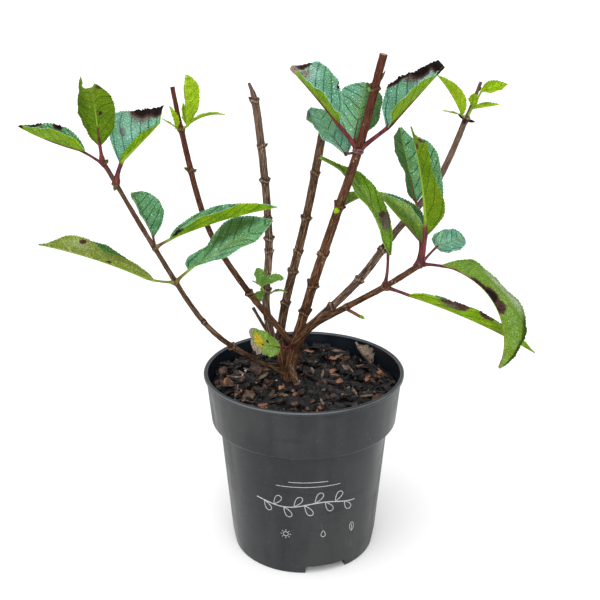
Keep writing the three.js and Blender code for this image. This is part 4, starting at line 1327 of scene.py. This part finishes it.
def bark_relief(cane, places, angles):
    """How far the bark stands out: ridges, swollen nodes and paired bud scars at each node."""
    out = np.zeros(len(places))
    base = read_off(cane["radii"], places)
    for node, scar, away in past_nodes(cane, places, angles):
        lobes = np.abs(np.cos(angles - scar))
        out += base * cane["swell"] * 0.7 * np.exp(-((places - node) / NODE["reach"]) ** 2)
        out += NODE["ridge"] * np.exp(-((away + 0.3) / 0.8) ** 2) * (1 + np.sin(angles * 5 + node))
        rising = np.clip((away + 3.2) / 3.6, 0, 1) * np.clip((1.9 - away) / 0.9, 0, 1)
        out += NODE["spur"] * base * rising * lobes ** 9
        out -= NODE["furrow"] * np.exp(-((away - 2.4) / 0.6) ** 2) * (1 - lobes ** 4)
    rough = [
        noise.noise(Vector((math.cos(a) * 2.6, math.sin(a) * 2.6, p * 0.07)))
        + 0.8 * noise.noise(Vector((math.cos(a) * 6, math.sin(a) * 6, p * 0.22)))
        for p, a in zip(places, angles)
    ]
    flutes = np.cos(3 * angles + 0.05 * places) + 0.6 * np.cos(7 * angles - 0.09 * places + 1)
    return out + 0.3 * np.array(rough) + cane.get("flute", 0) * (flutes - 0.6)


def cane_marks(cane):
    """What a cane's finish reads: the distance up it, its pale rings and its dark scars."""

    def near_node(at, angles, shift, width):
        out = np.zeros(len(at))
        for _, _, away in past_nodes(cane, at, angles):
            out = np.maximum(out, np.exp(-((away - shift) / width) ** 2))
        return out

    def scar(at, angles):
        return np.maximum(near_node(at, angles, 2.2, 0.8) * 0.9, near_node(at, angles, -1.8, 0.7) * 0.8)

    return {"reach": lambda at, angles: at * MM,
            "ring": lambda at, angles: near_node(at, angles, -0.2, 1.0), "scar": scar}


def cane_piece(name, cane, sides=28, spacing=1.0):
    """One cane, stub or fork of the crown, with its bark relief and its cut end."""
    spine = Spine(cane["points"])
    steps = np.linspace(0, spine.length, int(spine.length / spacing))
    rows = [(0, 0.1), *[(place, read_off(cane["radii"], place)) for place in steps]]
    first_cap, end = len(rows), rows[-1][1]
    rows += [(spine.length, end * share) for share in (0.92, 0.7, 0.45)]
    rows.append((spine.length - 0.5, 0.12))

    def covered(places, angles, row):
        out = bark_relief(cane, places, angles)
        out[(row >= first_cap) | (row == 0)] *= 0.1
        return out

    piece = tube(name, spine, rows, sides, covered, cane_marks(cane))
    paint(piece, *bark_finishes(cane["bark"]))
    tip = Vector(spine.at(spine.length) * MM)
    for face in piece.data.polygons:
        if (tip - face.center).length < end * 0.8 * MM:
            face.material_index = 1
    soften(piece, 60)
    return piece


def fibre_piece(name, limb, rng):
    """A loose strip of bark that peels off the crown."""
    spine = Spine(limb["points"])
    low = rng.uniform(1, spine.length * 0.75)
    places = np.clip(low + np.array([0, 4, 8, 12]) * rng.uniform(0.6, 1.3), 0, spine.length)
    points, _, first, second = spine.frames(places)
    bearing = rng.uniform(0, TURN)
    radii = read_off(limb["radii"], places) + np.array([0.0, 0.5, 1.1, rng.uniform(1.2, 3.8)])
    across = first * math.cos(bearing) + second * math.sin(bearing)
    strip = Spine(points + across * radii[:, None], 4)
    width = rng.uniform(0.3, 0.95)
    rows = [(place, width * (1 - 0.7 * place / strip.length))
            for place in np.linspace(0, strip.length, 6)]
    piece = tube(name, strip, capped(rows, 0.03), 4, marks={
        "reach": lambda at, angles: at * MM, "ring": lambda at, angles: at * 0 + 0.3,
        "scar": lambda at, angles: at * 0})
    paint(piece, *bark_finishes("shaggy"))
    return piece


def build_crown(settings):
    """The woody crown that the canes rise from."""
    parts = [cane_piece(f"crown_part_{k}", {**limb, "bark": "shaggy", "flute": 0.75}, 64, 0.7)
             for k, limb in enumerate(CROWN)]
    rng = random.Random(settings.seed)
    parts += [fibre_piece(f"fibre_{k}", CROWN[k % 2], rng) for k in range(settings.fibres)]
    finish_piece(join(parts, "woody_crown"), "cane_bark", "crown")


def bud_piece(name, spine, radii, bud):
    """A pointed bud that stands out from its cane."""
    place, bearing, rise, length, radius, tint = bud
    out = direction(bearing, rise)
    start = spine.at(place) + direction(bearing, 0) * (read_off(radii, place) * 0.8)
    line = Spine([start, start + out * length])
    rows = [(t * length, radius * math.sin(math.pi * min(0.25 + 0.75 * t, 0.97)) ** 0.8)
            for t in np.linspace(0, 1, 9)]
    piece = tube(name, line, capped(rows), 12, lambda at, angles, row: 0.12 * radius * np.cos(angles * 3))
    paint(piece, *leaf_finishes(tint))
    soften(piece, 50)
    return piece


def clasp_piece(name, spine, radii, clasp):
    """The ridge round a cane where a pair of leaf stalks meets."""
    place, thick = clasp
    middle, _, first, second = spine.frames(np.array([float(place)]))
    reach = read_off(radii, place) * 1.02
    ring = [middle[0] + (first[0] * math.cos(a) + second[0] * math.sin(a)) * reach
            for a in np.linspace(0, TURN, 25)]
    line = Spine(ring, 3)
    rows = [(at, thick) for at in np.linspace(0, line.length, 49)]
    piece = tube(name, line, rows, 8)
    paint(piece, *leaf_finishes("mauve"))
    soften(piece, 60)
    return piece


def build_limb(name, limb, *detail):
    """A cane or stub with its buds and clasps."""
    spine, radii = Spine(limb["points"]), limb["radii"]
    parts = [cane_piece(f"{name}_bark", limb, *detail)]
    parts += [bud_piece(f"{name}_bud_{k}", spine, radii, bud) for k, bud in enumerate(BUDS.get(name, []))]
    parts += [clasp_piece(f"{name}_clasp_{k}", spine, radii, clasp)
              for k, clasp in enumerate(CLASPS.get(name, []))]
    finish_piece(join(parts, f"{name}_bark"), "cane_bark", name)


def build_canes(settings):
    """The seven canes, each with its nodes and buds."""
    for name, cane in CANES.items():
        build_limb(name, cane)


def build_stubs(settings):
    """The cut stubs and the side twig."""
    for name, stub in STUBS.items():
        build_limb(name, stub, 16)


# ---- leaves ----


def blade_frame(leaf):
    """The blade's frame at its root: forward, up out of its upper face, and left."""
    bearing, rise = leaf["blade"][:2]
    forward = direction(bearing, rise)
    up = np.array([0, 0, 1.0])
    up = up - forward * up.dot(forward)
    up /= np.linalg.norm(up)
    roll = math.radians(leaf.get("roll", 0))
    up = up * math.cos(roll) + np.cross(forward, up) * math.sin(roll)
    return forward, up, np.cross(up, forward)


def midrib(leaf, root, shares):
    """Points and frames down the midrib, which bends evenly towards the underside."""
    forward, up, left = blade_frame(leaf)
    cut = leaf.get("cut", 1)
    length = leaf["blade"][2] * cut
    bend = math.radians(leaf.get("bend", 0)) * cut
    bend = bend if abs(bend) > 1e-3 else 1e-3
    turn = (bend * shares)[..., None]
    places = root + (forward * np.sin(turn) + up * (np.cos(turn) - 1)) * (length / bend)
    ups = up * np.cos(turn) + forward * np.sin(turn)
    return places, ups, left


def along_blade(setting, shares):
    """A setting that is one number, or pairs of a share of the length and a number."""
    return np.full(shares.shape, float(setting)) if np.isscalar(setting) else read_off(setting, shares)


def half_widths(leaf, side, shares):
    """Half the blade's width on one side at shares of its length, before the teeth."""
    if "edges" in leaf:
        pairs = leaf["edges"][side]
        fine = np.linspace(0, 1, 61)
        widths = read_off(pairs, fine)
        for _ in range(3):
            widths[1:-1] = (widths[:-2] + 2 * widths[1:-1] + widths[2:]) / 4
        return np.interp(shares, fine, widths)
    along = np.clip(shares * leaf.get("cut", 1), 0, 1)
    full = np.sin(math.pi * along ** leaf.get("widest", LEAF["widest"])) ** LEAF["fullness"]
    return np.maximum(leaf["blade"][3] / 2 * full, LEAF["tip"])


def patches(leaf, kind, across, along):
    """How strongly a kind of patch shows at each point of the blade."""
    value = np.zeros(across.shape)
    for x, v, wide, long, strength in leaf.get(kind, []):
        away = np.sqrt(((across - x) / wide) ** 2 + ((along - v) / long) ** 2)
        value = np.maximum(value, strength * np.clip(1.7 - away, 0, 1))
    return value


def ripples(points, scale, seed):
    """Smooth noise at each of an array of points."""
    shift = Vector((seed, 0, 0))
    values = [noise.noise(Vector(point) + shift) for point in points.reshape(-1, 3) * scale]
    return np.array(values).reshape(points.shape[:-1])


def blade_half(leaf, side, out, along, burnt, settings, seed):
    """Half a blade: how far each point lies out and up from the midrib, and the slope there."""
    length = leaf["blade"][2]
    half = half_widths(leaf, side, along)
    curl = along_blade(leaf.get("curl", LEAF["curl"])[side], along)
    angle = np.radians(along_blade(leaf["fold"][side], along)) + np.radians(curl) * out ** 3
    middle = (angle[:, 1:] + angle[:, :-1]) / 2
    step = 1 / (out.shape[1] - 1)
    lateral, lift = (np.pad(np.cumsum(part, axis=1) * step, ((0, 0), (1, 0)))
                     for part in (np.cos(middle), np.sin(middle)))
    saw = (along * length / settings.tooth_spacing + 0.37 * seed) % 1.0
    toothed = (along > 0.06) & (along < 0.97)
    teeth = settings.tooth / np.maximum(half, 3) * (saw - 0.5) * out ** 10 * toothed
    far = np.full(out.shape, 9.0 - 18.0 * side)
    grain = np.stack([along * length, np.zeros(out.shape), far], axis=-1)
    frayed = np.abs(ripples(grain, 0.2, seed) + 0.5 * ripples(grain, 0.55, seed))
    half = half * (1 + teeth - 0.22 * frayed * np.clip(burnt, 0, 1) * out ** 4)
    return half * lateral, half * lift, angle


def blade_relief(leaf, points, across, along, burnt, settings, seed):
    """How far a blade stands out of its plane, by its veins, its waves and its burnt parts."""
    reach, size = np.abs(across), min(leaf["blade"][2] / 60, 1.2)
    full = np.sin(math.pi * np.clip(along, 0.01, 0.99) ** LEAF["widest"]) ** LEAF["fullness"]
    away = reach * full
    arc_lean = away * VEIN["lean"] + away ** 2 * VEIN["arch"]
    valley = np.abs(((along - arc_lean) * VEIN["pairs"] + 0.5) % 1.0 - 0.5)
    puff = np.minimum(valley * 2.8, 1) - 0.55
    relief = settings.pucker * size * puff * np.minimum(away * 5, 1) * (1 - reach ** 6 * 0.5)
    relief -= settings.pucker * size * np.exp(-(away / 0.06) ** 2)
    relief += 0.32 * size * ripples(points, 0.42, seed) * np.minimum(away * 4, 1)
    relief += 1.3 * size * ripples(points, 0.055, seed + 5) * reach
    wave = leaf.get("wave", LEAF["wave"])
    relief += wave * reach ** 3 * np.sin(TURN * (along * 2.4 + 0.31 * seed) + np.sign(across))
    relief += 0.4 * wave * reach ** 2 * np.sin(TURN * (along * 5.3 + 0.17 * seed) - np.sign(across))
    crumple = np.clip(burnt, 0, 1) * (0.4 + reach)
    relief += crumple * (1.6 * ripples(points, 0.28, seed + 9) + 0.9 * ripples(points, 0.7, seed + 2))
    return relief


def blade_piece(name, leaf, root, settings, columns=36, rows=110, seed=0):
    """A leaf blade: a grid bent along its midrib, folded, curled, veined and toothed."""
    piece, share, row = grid(name, columns, rows)
    column, middle = np.rint(share * columns).astype(int), columns // 2
    across, along = np.meshgrid(np.linspace(-1, 1, columns + 1), np.linspace(0, 1, rows + 1))
    marks = {kind: patches(leaf, kind, across, along) for kind in PATCHES}
    burnt = np.maximum(marks["scorch"], marks["dry"])
    crest = read_off(leaf["crest"], across) if "crest" in leaf else 1.0
    places, ups, left = midrib(leaf, root, along * crest)
    points, normals = np.empty(places.shape), np.empty(places.shape)
    for side, sign, part in ((0, 1, slice(middle, None, -1)), (1, -1, slice(middle, None))):
        lateral, lift, angle = blade_half(leaf, side, np.abs(across[:, part]), along[:, part],
                                          burnt[:, part], settings, seed)
        points[:, part] = (places[:, part] + left * (sign * lateral)[..., None]
                           + ups[:, part] * lift[..., None])
        normals[:, part] = (ups[:, part] * np.cos(angle)[..., None]
                            - left * (sign * np.sin(angle))[..., None])
    relief = blade_relief(leaf, points, across, along, burnt, settings, seed)
    shape(piece, (points + normals * relief[..., None])[row, column])
    for kind, values in marks.items():
        mark(piece, kind, values[row, column])
    paint(piece, *leaf_finishes(leaf.get("tint", LEAF["tint"]), leaf.get("lower")))
    apply_modifier(piece, "SOLIDIFY", thickness=settings.thickness * MM, offset=0.0,
                   use_even_offset=False, material_offset=1, material_offset_rim=0)
    soften(piece, 75)
    return piece


def stalk_piece(name, leaf, start, root):
    """A stalk that flares where it leaves the cane and runs on under the blade as its midrib."""
    crest = read_off(leaf["crest"], 0) if "crest" in leaf else 1
    places, ups, _ = midrib(leaf, root, np.linspace(0, LEAF["rib_share"] * crest, 14))
    rib = places - ups * LEAF["stalk"] * 0.3
    spine = Spine([start, (start + root) / 2, *rib[1:]], 12)
    radius = LEAF["stalk"] * leaf.get("stout", 1)
    reach = np.linalg.norm(root - start)
    rows = []
    for place in np.linspace(0, spine.length, int(spine.length / 1.5)):
        if place < reach:
            thick = 1 - 0.25 * place / reach
        else:
            thick = 0.75 - 0.6 * ((place - reach) / (spine.length - reach)) ** 0.7
        thick += 0.6 * math.exp(-max(place - 3, 0) / 2.5) + 0.15 * math.exp(-((place - reach) / 4) ** 2)
        rows.append((place, radius * thick))
    rib_end = spine.length - reach
    wine = reach + leaf.get("wine", LEAF["wine"]) * rib_end

    def redness(at, angles):
        return np.clip((wine - at) / (0.25 * rib_end) + 0.5, 0, 1) * leaf.get("redness", 1)

    piece = tube(name, spine, capped(rows), 10, marks={"wine": redness})
    paint(piece, *leaf_finishes(leaf.get("tint", LEAF["tint"]), leaf.get("lower")))
    paint_all(piece, STALK_SLOT)
    soften(piece, 60)
    return piece


def start_of(piece):
    """Where a leaf or shoot leaves what carries it."""
    if "from" in piece:
        return np.array(piece["from"], float)
    cane, place = piece["on"]
    spine = Spine(CANES[cane]["points"])
    return spine.at(min(place, spine.length))


def build_leaves(settings):
    """Every large leaf, with its stalk."""
    for seed, (name, leaf) in enumerate(LEAVES.items()):
        start = start_of(leaf)
        bearing, rise, length = leaf["stalk"]
        root = start + direction(bearing, rise) * length
        blade = blade_piece(f"{name}_blade", leaf, root, settings, seed=seed)
        stalk = stalk_piece(f"{name}_stalk", leaf, start, root)
        finish_piece(join([blade, stalk], f"{name}_piece"), "leaf_green", name)


def build_shoots(settings):
    """The young shoots at the nodes, each a short stem with small leaves."""
    for seed, (name, shoot) in enumerate(SHOOTS.items()):
        start = start_of(shoot)
        bearing, rise, length = shoot["stem"]
        along = direction(bearing, rise)
        tint = shoot.get("tint", "young")
        spine = Spine([start, start + along * length])
        rows = [(0, SHOOT_STEM), (length * 0.6, SHOOT_STEM * 0.8), (length, SHOOT_STEM * 0.7)]
        stem = tube(f"{name}_stem", spine, capped(rows), 10, marks={"wine": lambda at, angles: at * 0})
        paint(stem, *leaf_finishes(tint))
        paint_all(stem, STALK_SLOT)
        pieces = [stem]
        for k, leaf in enumerate(shoot["leaves"]):
            root = start + along * (length * leaf.get("root", 1) - SHOOT_STEM)
            young = {**YOUNG_LEAF, "tint": tint, **leaf}
            pieces.append(blade_piece(f"{name}_leaf_{k}", young, root, settings, 14, 44, seed + 5 * k))
        finish_piece(join(pieces, f"{name}_piece"), "young_leaf", name)


def build_dry_leaf(settings):
    """A dead leaf that has curled up on the compost."""
    leaf = {**DRY_LEAF, "tint": "dry", "dry": [(0, 0.5, 2, 2, 0.7)]}
    piece = blade_piece("dry_leaf_piece", leaf, np.array(leaf["from"]), settings, 24, 60, 3)
    finish_piece(piece, "dry_leaf", "dry_leaf")


# ---- stage ----


def build_stage(settings):
    """The pale floor, the soft lights and the camera."""
    deselect()
    bpy.ops.mesh.primitive_plane_add(size=settings.floor_size)
    floor = named("pale_floor")
    paint(floor, floor_finish(settings.floor_colour))
    powers = {"key_light": settings.key_power, "front_light": settings.fill_power}
    for name, (turn, width) in LIGHTS.items():
        bpy.ops.object.light_add(type="SUN", location=(0, -1, 2),
                                 rotation=[math.radians(part) for part in turn])
        light = named(name)
        light.data.energy = powers[name]
        light.data.angle = math.radians(width)
    bpy.context.scene.view_settings.view_transform = "Standard"
    world = bpy.data.worlds.new("studio_world")
    world.use_nodes = True
    background = next(n for n in world.node_tree.nodes if n.type == "BACKGROUND")
    background.inputs["Color"].default_value = (1, 1, 1, 1)
    background.inputs["Strength"].default_value = settings.world_strength
    bpy.context.scene.world = world
    bpy.ops.object.camera_add(location=CAMERA["place"],
                              rotation=(math.radians(90 - CAMERA["down"]), 0, 0))
    camera = bpy.context.object
    camera.data.lens = CAMERA["lens"]
    camera.data.sensor_width = CAMERA["sensor"]
    bpy.context.scene.camera = camera


# ---- settings, operators and panel ----


class PotSettings(bpy.types.PropertyGroup):
    segments: bpy.props.IntProperty(name="Segments", description="Facets round the pot", default=160)
    colour: bpy.props.FloatVectorProperty(
        name="Colour", description="Plastic of the pot", subtype="COLOR", default=(0.011, 0.013, 0.015))
    warm: bpy.props.FloatVectorProperty(
        name="Warm colour", description="Where dust warms the plastic", subtype="COLOR",
        default=(0.027, 0.028, 0.028))
    # Painted shade: the inner wall is a darker, bluer copy of the plastic.
    inside: bpy.props.FloatVectorProperty(
        name="Inside", description="Damp inner wall", subtype="COLOR", default=(0.006, 0.009, 0.014))
    sprig_z: bpy.props.FloatProperty(name="Sprig height", description="Height of the sprig", default=79)
    hairline_z: bpy.props.FloatProperty(
        name="Hairline height", description="Height of the hairline", default=99)
    signs_z: bpy.props.FloatProperty(
        name="Signs height", description="Height of the care signs", default=46)


class PlantSettings(bpy.types.PropertyGroup):
    chips: bpy.props.IntProperty(name="Chips", description="Bark chips on the compost", default=620)
    crumbs: bpy.props.IntProperty(name="Crumbs", description="Small crumbs on the compost", default=600)
    seed: bpy.props.IntProperty(name="Seed", description="Seed of the chips", default=7)
    fibres: bpy.props.IntProperty(name="Fibres", description="Loose fibres on the crown", default=110)
    thickness: bpy.props.FloatProperty(
        name="Leaf thickness", description="Thickness of a blade in mm", default=0.5)
    tooth: bpy.props.FloatProperty(name="Tooth", description="Depth of the leaf teeth in mm", default=1.1)
    tooth_spacing: bpy.props.FloatProperty(
        name="Tooth spacing", description="Distance between teeth in mm", default=2.6)
    pucker: bpy.props.FloatProperty(
        name="Pucker", description="How far a leaf puffs between its veins in mm", default=0.55)


class StageSettings(bpy.types.PropertyGroup):
    floor_size: bpy.props.FloatProperty(
        name="Floor", description="Side of the floor", default=60, unit="LENGTH")
    floor_colour: bpy.props.FloatVectorProperty(
        name="Floor colour", description="Colour of the floor", subtype="COLOR",
        default=(0.95, 0.95, 0.95))
    key_power: bpy.props.FloatProperty(name="Key", description="Strength of the key light", default=1.6)
    fill_power: bpy.props.FloatProperty(
        name="Front", description="Strength of the front light", default=1.2)
    world_strength: bpy.props.FloatProperty(
        name="Sky", description="Strength of the white sky", default=0.8)


def operator(key, label, build, group):
    """An operator class that runs one builder with its settings."""

    def execute(self, context):
        build(getattr(context.scene, group))
        return {"FINISHED"}

    return type(f"SHRUB_OT_{key}", (bpy.types.Operator,), {
        "bl_idname": f"shrub.{key}", "bl_label": label, "__doc__": build.__doc__, "execute": execute,
    })


STEPS = [
    operator("pot", "Pot", build_pot, "shrub_pot"),
    operator("ornament", "Ornament", build_print, "shrub_pot"),
    operator("chips", "Bark chips", build_chips, "shrub_plant"),
    operator("crown", "Crown", build_crown, "shrub_plant"),
    operator("canes", "Canes", build_canes, "shrub_plant"),
    operator("stubs", "Stubs", build_stubs, "shrub_plant"),
    operator("leaves", "Leaves", build_leaves, "shrub_plant"),
    operator("shoots", "Shoots", build_shoots, "shrub_plant"),
    operator("dry_leaf", "Dry leaf", build_dry_leaf, "shrub_plant"),
    operator("stage", "Stage", build_stage, "shrub_stage"),
]
GROUPS = {"shrub_pot": PotSettings, "shrub_plant": PlantSettings, "shrub_stage": StageSettings}


class SHRUB_PT_panel(bpy.types.Panel):
    """Lists the steps that dress the shrub."""

    bl_label = "Potted hydrangea"
    bl_idname = "SHRUB_PT_panel"
    bl_space_type = "VIEW_3D"
    bl_region_type = "UI"
    bl_category = "Hydrangea"

    def draw(self, context):
        for step in STEPS:
            self.layout.operator(step.bl_idname)


def register():
    for kind in (*GROUPS.values(), *STEPS, SHRUB_PT_panel):
        bpy.utils.register_class(kind)
    for name, group in GROUPS.items():
        setattr(bpy.types.Scene, name, bpy.props.PointerProperty(type=group))


def unregister():
    for name in GROUPS:
        delattr(bpy.types.Scene, name)
    for kind in (SHRUB_PT_panel, *reversed(STEPS), *reversed(list(GROUPS.values()))):
        bpy.utils.unregister_class(kind)


def main():
    register()
    for step in STEPS:
        category, name = step.bl_idname.split(".")
        getattr(getattr(bpy.ops, category), name)()


if __name__ == "__main__":
    main()
